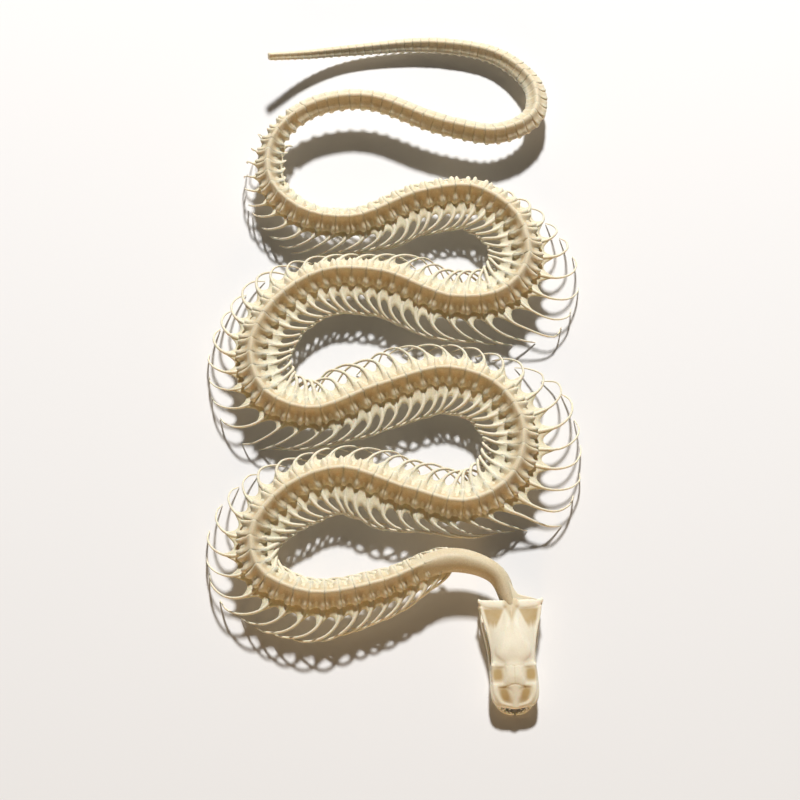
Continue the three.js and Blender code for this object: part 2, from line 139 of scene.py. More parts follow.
# Half outlines of the dried tissue, x and height: under the roofs of the trunk, and round the neck.
TISSUE_ROOF = (
    (0, -0.5), (0.5, -0.8), (1.6, -3.1), (4.6, -5.4), (5.3, -6.2), (5.1, -7.3), (3.0, -8.6), (0, -9.9),
)
TISSUE_TUBE = (
    (0, -0.3), (1.4, -0.75), (2.9, -1.9), (4.5, -3.9), (5.4, -6.0), (5.1, -7.3), (3.0, -8.6), (0, -9.9),
)


def table_value(table: tuple, distance: np.ndarray | float) -> np.ndarray:
    """Reads a table of (distance, value) pairs.

    Args:
        table: The pairs, in rising order of distance.
        distance: Where to read it, in millimetres behind the skull.

    Returns:
        The value at each distance, on straight lines between the pairs.
    """
    rows = np.array(table, float)
    return np.interp(distance, rows[:, 0], rows[:, 1])


def smooth_line(points: np.ndarray, steps: int) -> np.ndarray:
    """Runs a centripetal Catmull-Rom curve through points.

    Args:
        points: Rows of coordinates, of which the first three columns space the curve.
        steps: Samples for each span between two points.

    Returns:
        The samples, with the last point as the last row.
    """
    points = np.asarray(points, float)
    padded = np.vstack([2 * points[0] - points[1], points, 2 * points[-1] - points[-2]])
    spans = []
    t = np.linspace(0, 1, steps, endpoint=False)[:, None]
    for p0, p1, p2, p3 in zip(padded, padded[1:], padded[2:], padded[3:]):
        d0, d1, d2 = (
            max(float(np.sum((b - a)[:3] ** 2)) ** 0.25, 1e-4)
            for a, b in ((p0, p1), (p1, p2), (p2, p3))
        )
        m1 = ((p1 - p0) / d0 - (p2 - p0) / (d0 + d1) + (p2 - p1) / d1) * d1
        m2 = ((p2 - p1) / d1 - (p3 - p1) / (d1 + d2) + (p3 - p2) / d2) * d1
        spans.append(
            p1 + m1 * t + (-3 * p1 + 3 * p2 - 2 * m1 - m2) * t**2 + (2 * p1 - 2 * p2 + m1 + m2) * t**3
        )
    return np.vstack([*spans, points[-1:]])


def smoothstep(low: float, high: float, value: np.ndarray) -> np.ndarray:
    """Soft step from 0 at low to 1 at high."""
    t = np.clip((value - low) / (high - low), 0, 1)
    return t * t * (3 - 2 * t)


class Side(Enum):
    """A side of the body, seen on a walk from the skull to the tail."""

    RIGHT = 1
    LEFT = -1


@dataclass
class CrestLine:
    """The line of the neural crests, and places beside it."""

    step: float = 2.0
    line: np.ndarray = field(init=False)
    along: np.ndarray = field(init=False)
    reach_table: dict = field(init=False)

    def __post_init__(self) -> None:
        """Samples the line and works out how far the ribs may reach on each side of it."""
        crest = np.array(CREST, float) - np.array([MIDDLE[0], MIDDLE[1], 0])
        self.line = smooth_line(crest, 80)
        self.along = np.r_[0, np.cumsum(np.linalg.norm(np.diff(self.line, axis=0), axis=1))]
        stations = np.arange(0, self.length, self.step)
        self.reach_table = {side: (stations, self._reach(stations, side)) for side in Side}

    @property
    def length(self) -> float:
        """Length of the crest in millimetres."""
        return float(self.along[-1])

    def place(self, distance: np.ndarray) -> np.ndarray:
        """Points on the crest at distances behind the skull."""
        distance = np.clip(distance, 0, self.length)
        return np.stack([np.interp(distance, self.along, self.line[:, k]) for k in range(3)], axis=-1)

    def tangent(self, distance: np.ndarray, span: float = 1.5) -> np.ndarray:
        """Level directions towards the tail, which past an end stay those of the end.

        Args:
            distance: Distances behind the skull.
            span: How far to each side the direction is taken over.

        Returns:
            Rows of unit directions.
        """
        middle = np.clip(distance, 0, self.length)
        run = self.place(middle + span) - self.place(middle - span)
        run[..., 2] = 0
        return run / np.linalg.norm(run, axis=-1, keepdims=True)

    def sideways(self, distance: np.ndarray, side: Side) -> np.ndarray:
        """Level directions straight out from the crest on one side."""
        tangent = self.tangent(distance)
        return np.stack([-tangent[..., 1], tangent[..., 0], 0 * tangent[..., 0]], axis=-1) * side.value

    def turn(self, distance: np.ndarray, span: float = 9.0) -> np.ndarray:
        """Turn of the crest per millimetre, positive to the left.

        Args:
            distance: Distances behind the skull.
            span: How far to each side the turn is taken over.

        Returns:
            Radians for each millimetre.
        """
        before = self.tangent(np.maximum(np.asarray(distance) - span, 0))
        after = self.tangent(np.minimum(np.asarray(distance) + span, self.length))
        cross = before[..., 0] * after[..., 1] - before[..., 1] * after[..., 0]
        return np.arcsin(np.clip(cross, -1, 1)) / (2 * span)

    def _reach(self, stations: np.ndarray, side: Side) -> np.ndarray:
        """How far out ribs may go, less inside a tight bend and beside another stretch.

        Args:
            stations: Distances behind the skull.
            side: The side of the body.

        Returns:
            The reach in millimetres at each station.
        """
        here = self.place(stations)
        others = np.arange(0, self.length, 4.0)
        apart = self.place(others)[None] - here[:, None]
        apart[..., 2] = 0
        gap = np.linalg.norm(apart, axis=-1)
        facing = np.einsum("ijk,ik->ij", apart, self.sideways(stations, side)) > 0.6 * gap
        distant = np.abs(others[None] - stations[:, None]) >= OTHER_STRETCH
        room = np.where(facing & distant, gap / 2, 1e6).min(axis=1) - STRETCH_CLEARANCE
        inward = np.maximum(self.turn(stations) * side.value, 1e-6)
        table, most = (
            (RIGHT_REACH, OUTER_STRETCH_RIGHT) if side is Side.RIGHT else (LEFT_REACH, OUTER_STRETCH_LEFT)
        )
        free = table_value(table, stations)
        spread = (most - 1) * self.openness(stations, side) * np.maximum(free - FREE_REACH, 0) * SPREAD_GAIN
        return np.minimum.reduce([free + spread, INNER_REACH_LIMIT / inward, room])

    def openness(self, distance: np.ndarray, side: Side) -> np.ndarray:
        """From 0 where the body runs straight to 1 on the outside of a tight bend."""
        start = np.maximum(np.asarray(distance) - SPREAD_LAG, 0)
        return np.clip(-self.turn(start) * side.value * TIGHT_BEND, 0, 1)

    def reach(self, distance: np.ndarray, side: Side) -> np.ndarray:
        """How far out ribs may go at distances behind the skull."""
        stations, values = self.reach_table[side]
        return np.interp(distance, stations, values)

    def beside(self, distance: np.ndarray, side: Side, back: np.ndarray, lateral: np.ndarray) -> np.ndarray:
        """Places beside the column, where part of the sweep follows the bend and part runs straight on.

        Args:
            distance: Distances behind the skull of the bones that the places belong to.
            side: The side of the body.
            back: How far each place lies towards the tail.
            lateral: How far out each place lies.

        Returns:
            Points at the crest's height.
        """
        inward = np.clip(self.turn(distance) * side.value * TIGHT_BEND, -1, 1)
        follow = 0.72 + 0.24 * inward
        station = distance + follow * back
        out = self.sideways(station, side) * np.asarray(lateral)[..., None]
        on = self.tangent(station) * ((1 - follow) * back)[..., None]
        return self.place(station) + out + on

    def joints(self) -> np.ndarray:
        """Joints between vertebrae.

        Returns:
            Distances behind the skull, up to the first past the tail's end.
        """
        found = [float(TRUNK_CUTS[0])]
        while found[-1] < self.length:
            found.append(found[-1] + float(table_value(VERTEBRA_LENGTH, found[-1])))
        return np.array(found)


# ------------------------------------------------------------------ meshes


def make_mesh(name: str, points: np.ndarray, faces: list, edges: list | None = None) -> bpy.types.Object:
    """Makes a mesh object from corners in millimetres.

    Args:
        name: The object's name.
        points: Rows of x, y, z.
        faces: Lists of corner numbers.
        edges: Pairs of corner numbers, for a mesh without faces.

    Returns:
        The object, linked to the scene, at the origin.
    """
    mesh = bpy.data.meshes.new(name)
    mesh.from_pydata((np.asarray(points, float) * MM).tolist(), edges or [], faces)
    mesh.update()
    obj = bpy.data.objects.new(name, mesh)
    bpy.context.scene.collection.objects.link(obj)
    return obj


def put_attribute(obj: bpy.types.Object, name: str, values: np.ndarray) -> None:
    """Stores a number or a vector for each corner of a mesh.

    Args:
        obj: The mesh object.
        name: The attribute's name.
        values: One value or one row of three for each corner.
    """
    values = np.asarray(values, float)
    kind, key = ("FLOAT_VECTOR", "vector") if values.ndim == 2 else ("FLOAT", "value")
    layer = obj.data.attributes.new(name, kind, "POINT")
    layer.data.foreach_set(key, values.ravel())


def corners_of(obj: bpy.types.Object) -> np.ndarray:
    """Reads the corners of a mesh object.

    Args:
        obj: The mesh object.

    Returns:
        Rows of x, y, z in millimetres.
    """
    flat = np.empty(len(obj.data.vertices) * 3)
    obj.data.vertices.foreach_get("co", flat)
    return flat.reshape(-1, 3) / MM


def move_corners(obj: bpy.types.Object, points: np.ndarray) -> None:
    """Writes corners in millimetres back to a mesh object."""
    obj.data.vertices.foreach_set("co", (np.asarray(points) * MM).ravel())
    obj.data.update()


def plain_mesh(obj: bpy.types.Object) -> bpy.types.Object:
    """Turns an object with modifiers into its finished mesh and takes the modifiers off.

    Args:
        obj: The object.

    Returns:
        The same object.
    """
    view = bpy.context.evaluated_depsgraph_get()
    made = bpy.data.meshes.new_from_object(
        obj.evaluated_get(view), preserve_all_data_layers=True, depsgraph=view,
    )
    old = obj.data
    obj.modifiers.clear()
    obj.data = made
    made.name = obj.name
    bpy.data.meshes.remove(old)
    return obj


def discard(obj: bpy.types.Object) -> None:
    """Removes a helper object and its mesh.

    Args:
        obj: The helper.
    """
    mesh = obj.data
    bpy.data.objects.remove(obj)
    bpy.data.meshes.remove(mesh)


def shade_smooth(obj: bpy.types.Object) -> None:
    """Gives every face of a mesh soft shading."""
    obj.data.polygons.foreach_set("use_smooth", [True] * len(obj.data.polygons))


def ring_faces(rings: int, around: int, capped: bool = True) -> list:
    """Faces of a tube of rings.

    Args:
        rings: Number of rings.
        around: Corners in each ring.
        capped: Whether both ends are closed.

    Returns:
        Lists of corner numbers that face out for rings that turn anticlockwise seen from the last one.
    """
    faces = []
    for i in range(rings - 1):
        for j in range(around):
            k = (j + 1) % around
            faces.append([i * around + j, i * around + k, (i + 1) * around + k, (i + 1) * around + j])
    if capped:
        faces.append(list(range(around))[::-1])
        faces.append([(rings - 1) * around + j for j in range(around)])
    return faces


def outward(obj: bpy.types.Object) -> bpy.types.Object:
    """Merges doubled corners of closed shells and turns all faces out.

    Args:
        obj: The mesh object.

    Returns:
        The same object.
    """
    work = bmesh.new()
    work.from_mesh(obj.data)
    bmesh.ops.remove_doubles(work, verts=work.verts, dist=1e-7)
    bmesh.ops.recalc_face_normals(work, faces=work.faces)
    work.to_mesh(obj.data)
    work.free()
    return obj


@dataclass
class ShellList:
    """Closed shells that are gathered and then become one mesh."""

    points: list = field(default_factory=list)
    faces: list = field(default_factory=list)

    def add(self, points: np.ndarray, faces: list) -> None:
        """Adds one shell.

        Args:
            points: Rows of x, y, z in millimetres.
            faces: Lists of corner numbers, counted from this shell's first.
        """
        start = sum(len(block) for block in self.points)
        self.points.append(np.asarray(points, float))
        self.faces.extend([[start + i for i in face] for face in faces])

    def add_rings(self, rings: np.ndarray) -> None:
        """Adds a tube through rings, an array of rings by corners by coordinates."""
        count, around = rings.shape[:2]
        self.add(rings.reshape(-1, 3), ring_faces(count, around))

    def build(self, name: str) -> bpy.types.Object:
        """Makes the mesh object."""
        return outward(make_mesh(name, np.vstack(self.points), self.faces))


# ------------------------------------------------------------------ Geometry Nodes


class NodeTree:
    """A Geometry Nodes tree under construction."""

    def __init__(self, name: str, sockets: dict) -> None:
        """Starts a tree.

        Args:
            name: The tree's name.
            sockets: Input names and their socket types, after the geometry input.
        """
        self.tree = bpy.data.node_groups.new(name, "GeometryNodeTree")
        self.tree.interface.new_socket("Geometry", in_out="INPUT", socket_type="NodeSocketGeometry")
        self.ids = {}
        for label, kind in sockets.items():
            socket = self.tree.interface.new_socket(label, in_out="INPUT", socket_type=kind)
            self.ids[label] = socket.identifier
        self.tree.interface.new_socket("Geometry", in_out="OUTPUT", socket_type="NodeSocketGeometry")
        self.inputs = self.tree.nodes.new("NodeGroupInput")
        self.output = self.tree.nodes.new("NodeGroupOutput")

    def node(self, kind: str, **settings: object) -> bpy.types.Node:
        """Adds a node.

        Args:
            kind: The node's type.
            settings: Its properties and their values.

        Returns:
            The node.
        """
        made = self.tree.nodes.new(kind)
        for key, value in settings.items():
            setattr(made, key, value)
        return made

    def link(self, source: bpy.types.NodeSocket, target: bpy.types.NodeSocket) -> None:
        """Joins two sockets."""
        self.tree.links.new(source, target)

    def named(self, name: str, kind: str) -> bpy.types.NodeSocket:
        """Reads a named attribute of the input.

        Args:
            name: The attribute's name.
            kind: Its data type.

        Returns:
            The socket that gives its value.
        """
        made = self.node("GeometryNodeInputNamedAttribute", data_type=kind)
        made.inputs["Name"].default_value = name
        return made.outputs["Attribute"]

    def close(self, geometry: bpy.types.NodeSocket) -> None:
        """Ends the tree in smooth shading, realized instances and the material.

        Args:
            geometry: The socket that gives the finished shape.
        """
        smooth = self.node("GeometryNodeSetShadeSmooth")
        realize = self.node("GeometryNodeRealizeInstances")
        finish = self.node("GeometryNodeSetMaterial")
        self.link(geometry, smooth.inputs["Geometry"])
        self.link(smooth.outputs["Geometry"], realize.inputs["Geometry"])
        self.link(realize.outputs["Geometry"], finish.inputs["Geometry"])
        self.link(self.inputs.outputs["Material"], finish.inputs["Material"])
        self.link(finish.outputs["Geometry"], self.output.inputs["Geometry"])

    def run(self, obj: bpy.types.Object, values: dict) -> bpy.types.Object:
        """Runs the tree on an object and leaves the plain result.

        Args:
            obj: The object whose mesh is the input.
            values: Input names and their values.

        Returns:
            The same object, with the finished mesh.
        """
        modifier = obj.modifiers.new(self.tree.name, "NODES")
        modifier.node_group = self.tree
        for label, value in values.items():
            modifier[self.ids[label]] = value
        return plain_mesh(obj)


def bone_row_tree() -> NodeTree:
    """Builds the tree that sets one bone on every point, turned and grown by attributes, with a seeded lean.

    Returns:
        The tree, with inputs Bone, Lean, Seed and Material.
    """
    sockets = {
        "Bone": "NodeSocketObject",
        "Lean": "NodeSocketFloat",
        "Seed": "NodeSocketInt",
        "Material": "NodeSocketMaterial",
    }
    tree = NodeTree("bone_row", sockets)
    points = tree.node("GeometryNodeMeshToPoints")
    bone = tree.node("GeometryNodeObjectInfo")
    rotation = tree.node("FunctionNodeEulerToRotation")
    place = tree.node("GeometryNodeInstanceOnPoints")
    tree.link(tree.inputs.outputs["Geometry"], points.inputs["Mesh"])
    tree.link(tree.inputs.outputs["Bone"], bone.inputs["Object"])
    tree.link(tree.named("turn", "FLOAT_VECTOR"), rotation.inputs["Euler"])
    tree.link(points.outputs["Points"], place.inputs["Points"])
    tree.link(bone.outputs["Geometry"], place.inputs["Instance"])
    tree.link(rotation.outputs["Rotation"], place.inputs["Rotation"])
    tree.link(tree.named("grow", "FLOAT_VECTOR"), place.inputs["Scale"])
    chance = tree.node("FunctionNodeRandomValue", data_type="FLOAT_VECTOR")
    chance.inputs["Min"].default_value = (-1, -1, -1)
    chance.inputs["Max"].default_value = (1, 1, 1)
    tree.link(tree.inputs.outputs["Seed"], chance.inputs["Seed"])
    amount = tree.node("ShaderNodeVectorMath", operation="SCALE")
    tree.link(chance.outputs["Value"], amount.inputs[0])
    tree.link(tree.inputs.outputs["Lean"], amount.inputs["Scale"])
    lean = tree.node("GeometryNodeRotateInstances")
    small = tree.node("FunctionNodeEulerToRotation")
    tree.link(amount.outputs["Vector"], small.inputs["Euler"])
    tree.link(place.outputs["Instances"], lean.inputs["Instances"])
    tree.link(small.outputs["Rotation"], lean.inputs["Rotation"])
    tree.close(lean.outputs["Instances"])
    return tree


def tube_tree() -> NodeTree:
    """Builds the tree that turns lines of edges into closed round tubes with the attribute girth as radius.

    Returns:
        The tree, with inputs Sides and Material.
    """
    sockets = {"Sides": "NodeSocketInt", "Material": "NodeSocketMaterial"}
    tree = NodeTree("bone_tubes", sockets)
    curve = tree.node("GeometryNodeMeshToCurve")
    circle = tree.node("GeometryNodeCurvePrimitiveCircle")
    sweep = tree.node("GeometryNodeCurveToMesh")
    circle.inputs["Radius"].default_value = 1.0
    sweep.inputs["Fill Caps"].default_value = True
    tree.link(tree.inputs.outputs["Geometry"], curve.inputs["Mesh"])
    tree.link(tree.inputs.outputs["Sides"], circle.inputs["Resolution"])
    tree.link(curve.outputs["Curve"], sweep.inputs["Curve"])
    tree.link(circle.outputs["Curve"], sweep.inputs["Profile Curve"])
    tree.link(tree.named("girth", "FLOAT"), sweep.inputs["Scale"])
    tree.close(sweep.outputs["Mesh"])
    return tree


# ------------------------------------------------------------------ finishes


def weathering_group() -> bpy.types.NodeTree:
    """Shader group shared by the bone finishes: blotches, fine specks and the height of pores.

    Returns:
        The group, with inputs Vector, Blotch Scale, Pore Scale and outputs Blotch, Speck, Height.
    """
    group = bpy.data.node_groups.new("bone_weathering", "ShaderNodeTree")
    for name, kind in (
        ("Vector", "NodeSocketVector"),
        ("Blotch Scale", "NodeSocketFloat"),
        ("Pore Scale", "NodeSocketFloat"),
    ):
        group.interface.new_socket(name, in_out="INPUT", socket_type=kind)
    for name in ("Blotch", "Speck", "Height"):
        group.interface.new_socket(name, in_out="OUTPUT", socket_type="NodeSocketFloat")
    nodes, links = group.nodes, group.links
    source = nodes.new("NodeGroupInput")
    result = nodes.new("NodeGroupOutput")
    blotch = nodes.new("ShaderNodeTexNoise")
    blotch.inputs["Detail"].default_value = 5
    blotch.inputs["Roughness"].default_value = 0.6
    speck = nodes.new("ShaderNodeTexNoise")
    speck.inputs["Detail"].default_value = 3
    pores = nodes.new("ShaderNodeTexVoronoi")
    spread = nodes.new("ShaderNodeMapRange")
    spread.inputs["From Min"].default_value = 0.36
    spread.inputs["From Max"].default_value = 0.66
    pit = nodes.new("ShaderNodeMapRange")
    pit.inputs["From Max"].default_value = 0.35
    blend = nodes.new("ShaderNodeMath")
    blend.operation = "MULTIPLY_ADD"
    blend.inputs[1].default_value = 0.6
    for texture, scale in ((blotch, "Blotch Scale"), (speck, "Pore Scale"), (pores, "Pore Scale")):
        links.new(source.outputs["Vector"], texture.inputs["Vector"])
        links.new(source.outputs[scale], texture.inputs["Scale"])
    links.new(blotch.outputs[0], spread.inputs["Value"])
    links.new(spread.outputs["Result"], result.inputs["Blotch"])
    links.new(speck.outputs[0], result.inputs["Speck"])
    links.new(pores.outputs["Distance"], pit.inputs["Value"])
    links.new(speck.outputs[0], blend.inputs[0])
    links.new(pit.outputs["Result"], blend.inputs[2])
    links.new(blend.outputs["Value"], result.inputs["Height"])
    return group


@dataclass(frozen=True)
class BoneFinish:
    """Dry bone or dried tissue: a pale colour that goes tan where the attribute tint is high, which in places
    holds painted shade and painted highlights.
    """

    name: str
    pale: tuple[float, float, float]
    tan: tuple[float, float, float]
    dark: tuple[float, float, float]
    roughness: float = 0.55
    bump: float = 0.25
    glow: float = 0.3
    blotch_scale: float = 90.0
    pore_scale: float = 1500.0
    blotch_share: float = 0.16
    grime: float = 0.28

    def material(self, weathering: bpy.types.NodeTree) -> bpy.types.Material:
        """Builds the material.

        Args:
            weathering: The shared group of blotches and pores.

        Returns:
            The material.
        """
        made = bpy.data.materials.new(self.name)
        made.use_nodes = True
        nodes, links = made.node_tree.nodes, made.node_tree.links
        shader = nodes["Principled BSDF"]
        place = nodes.new("ShaderNodeTexCoord")
        worn = nodes.new("ShaderNodeGroup")
        worn.node_tree = weathering
        worn.inputs["Blotch Scale"].default_value = self.blotch_scale
        worn.inputs["Pore Scale"].default_value = self.pore_scale
        links.new(place.outputs["Object"], worn.inputs["Vector"])
        tint = nodes.new("ShaderNodeAttribute")
        tint.attribute_name = "tint"
        add = nodes.new("ShaderNodeMath")
        add.operation = "MULTIPLY_ADD"
        add.use_clamp = True
        add.inputs[1].default_value = self.blotch_share
        links.new(worn.outputs["Blotch"], add.inputs[0])
        links.new(tint.outputs["Fac"], add.inputs[2])
        tan = self._mix(nodes, self.pale, self.tan)
        links.new(add.outputs["Value"], tan.inputs["Factor"])
        grime = nodes.new("ShaderNodeMapRange")
        grime.inputs["From Min"].default_value = 0.3
        grime.inputs["From Max"].default_value = 0.75
        grime.inputs["To Min"].default_value = self.grime
        grime.inputs["To Max"].default_value = 0.0
        links.new(worn.outputs["Speck"], grime.inputs["Value"])
        deep = self._mix(nodes, None, self.dark)
        links.new(grime.outputs["Result"], deep.inputs["Factor"])
        links.new(tan.outputs["Result"], deep.inputs["A"])
        links.new(deep.outputs["Result"], shader.inputs["Base Color"])
        rough = nodes.new("ShaderNodeMapRange")
        rough.inputs["To Min"].default_value = self.roughness + 0.1
        rough.inputs["To Max"].default_value = self.roughness - 0.12
        links.new(worn.outputs["Blotch"], rough.inputs["Value"])
        links.new(rough.outputs["Result"], shader.inputs["Roughness"])
        bump = nodes.new("ShaderNodeBump")
        bump.inputs["Strength"].default_value = self.bump
        bump.inputs["Distance"].default_value = 0.0002
        links.new(worn.outputs["Height"], bump.inputs["Height"])
        links.new(bump.outputs["Normal"], shader.inputs["Normal"])
        shader.inputs["Specular IOR Level"].default_value = 0.35
        shader.inputs["Subsurface Weight"].default_value = self.glow
        shader.inputs["Subsurface Radius"].default_value = (1.0, 0.62, 0.36)
        shader.inputs["Subsurface Scale"].default_value = 0.0012
        return made

    def _mix(self, nodes: bpy.types.Nodes, a: tuple | None, b: tuple) -> bpy.types.Node:
        """Adds a colour mix whose factor is linked later.

        Args:
            nodes: The material's nodes.
            a: The first colour, or None where it is linked later too.
            b: The second colour.

        Returns:
            The mix node.
        """
        mix = nodes.new("ShaderNodeMix")
        mix.data_type = "RGBA"
        if a is not None:
            mix.inputs["A"].default_value = (*a, 1)
        mix.inputs["B"].default_value = (*b, 1)
        return mix


@dataclass(frozen=True)
class PaperFinish:
    """The pale floor."""

    name: str = "pale_paper"
    color: tuple[float, float, float] = (0.81, 0.80, 0.81)

    def material(self) -> bpy.types.Material:
        """Builds the material.

        Returns:
            The material.
        """
        made = bpy.data.materials.new(self.name)
        made.use_nodes = True
        shader = made.node_tree.nodes["Principled BSDF"]
        shader.inputs["Base Color"].default_value = (*self.color, 1)
        shader.inputs["Roughness"].default_value = 0.9
        shader.inputs["Specular IOR Level"].default_value = 0.1
        return made


# ------------------------------------------------------------------ backbone


@dataclass(frozen=True)
class BoneRing:
    """One ring of a vertebra: its place along the bone and how far its parts stand out."""

    along: float
    crest: float
    spine: float
    arch: float
    wing: float
    wing_height: float
    waist: float
    facet: float
    body: float
    bottom: float
    # valley: tint added in the hollows between the lumps as painted shade, and taken off the lumps as painted
    # light.
    valley: float

    def half(self) -> list[tuple[float, float, float]]:
        """Corners of one half from the crest to the underside.

        Returns:
            The x, z and tint of each corner.
        """
        wing, high = self.wing, self.wing_height
        # The roof's tan between crest and wing is partly dried tissue and partly painted shade on the flanks;
        # the paler wing tip and facet are a painted highlight, one bright speck for each vertebra.
        return [
            (0.0, self.crest, 0.4),
            (self.spine * 0.8, self.crest - 0.14, 0.34),
            (self.spine * 1.7, self.crest - 0.62, 0.3),
            (2.0, 0.95 * self.arch, 0.5 + 0.5 * self.valley),
            (0.35 + 0.62 * wing, 0.38 * self.arch + 0.62 * high, 0.27 + 0.9 * self.valley),
            (wing, high, 0.8 * self.valley - 0.02),
            (wing * 0.97, high - 0.75, 0.8 * self.valley),
            (self.waist, -6.6, 0.2),
            (self.facet, -7.4, -0.1),
            (self.facet * 0.8, -8.4, 0.1),
            (self.body, -9.4, 0.25),
            (1.2, self.bottom + 0.25, 0.3),
            (0.0, self.bottom, 0.3),
        ]


# The last value of each ring, valley, paints shade into the hollows between the lumps and light onto the
# lumps.
TRUNK_RINGS = (
    BoneRing(-0.52, -0.14, 0.6, -2.5, 6.3, -4.8, 5.6, 5.6, 2.6, -10.0, 0.0),
    BoneRing(-0.38, -0.10, 0.6, -2.4, 7.0, -4.6, 6.3, 6.6, 2.9, -10.4, -0.12),
    BoneRing(-0.24, -0.03, 0.6, -2.5, 6.8, -4.9, 6.1, 6.5, 2.7, -10.3, -0.02),
    BoneRing(-0.10, 0.0, 0.6, -2.8, 5.5, -5.5, 5.0, 5.6, 2.4, -10.1, 0.25),
    BoneRing(0.05, 0.0, 0.6, -2.9, 4.8, -5.9, 4.6, 5.0, 2.4, -10.1, 0.38),
    BoneRing(0.20, 0.0, 0.6, -2.8, 5.1, -5.6, 4.7, 5.0, 2.4, -10.1, 0.3),
    BoneRing(0.34, -0.02, 0.6, -2.5, 6.2, -4.8, 5.0, 5.0, 2.5, -10.4, 0.05),
    BoneRing(0.47, -0.05, 0.6, -2.3, 6.8, -4.3, 5.2, 5.0, 2.7, -10.7, -0.1),
    BoneRing(0.60, -0.12, 0.6, -2.5, 6.2, -4.7, 4.9, 4.6, 2.4, -10.2, 0.0),
)
TAIL_RINGS = (
    BoneRing(-0.52, -0.14, 0.8, -2.1, 6.1, -4.6, 5.4, 4.8, 2.8, -9.6, 0.12),
    BoneRing(-0.38, -0.05, 0.8, -2.0, 6.5, -4.6, 6.0, 5.9, 3.4, -10.0, -0.1),
    BoneRing(-0.16, -0.02, 0.8, -2.0, 6.5, -4.7, 6.0, 6.0, 3.4, -10.3, -0.1),
    BoneRing(0.08, 0.0, 0.8, -2.1, 6.2, -4.7, 5.6, 4.9, 2.8, -10.4, 0.08),
    BoneRing(0.36, -0.02, 0.8, -2.0, 6.4, -4.6, 5.6, 4.6, 2.8, -10.7, 0.05),
    BoneRing(0.58, -0.12, 0.8, -2.1, 6.1, -4.7, 5.3, 4.2, 2.5, -10.2, 0.12),
)


@dataclass(frozen=True)
class Vertebra:
    """A vertebra to be repeated, 1 mm long, with its crest over the origin and its front towards -Y."""

    name: str
    rings: tuple[BoneRing, ...]

    def build(self) -> bpy.types.Object:
        """Makes the bone as a helper object.

        Returns:
            The helper, with its attribute tint.
        """
        points, tints = [], []
        for ring in self.rings:
            half = ring.half()
            loop = [(x, z, t) for x, z, t in half] + [(-x, z, t) for x, z, t in half[-2:0:-1]]
            points += [(x, ring.along, z) for x, z, _ in loop]
            tints += [t for _, _, t in loop]
        around = len(points) // len(self.rings)
        obj = make_mesh(self.name, np.array(points), ring_faces(len(self.rings), around))
        put_attribute(obj, "tint", np.array(tints))
        return outward(obj)


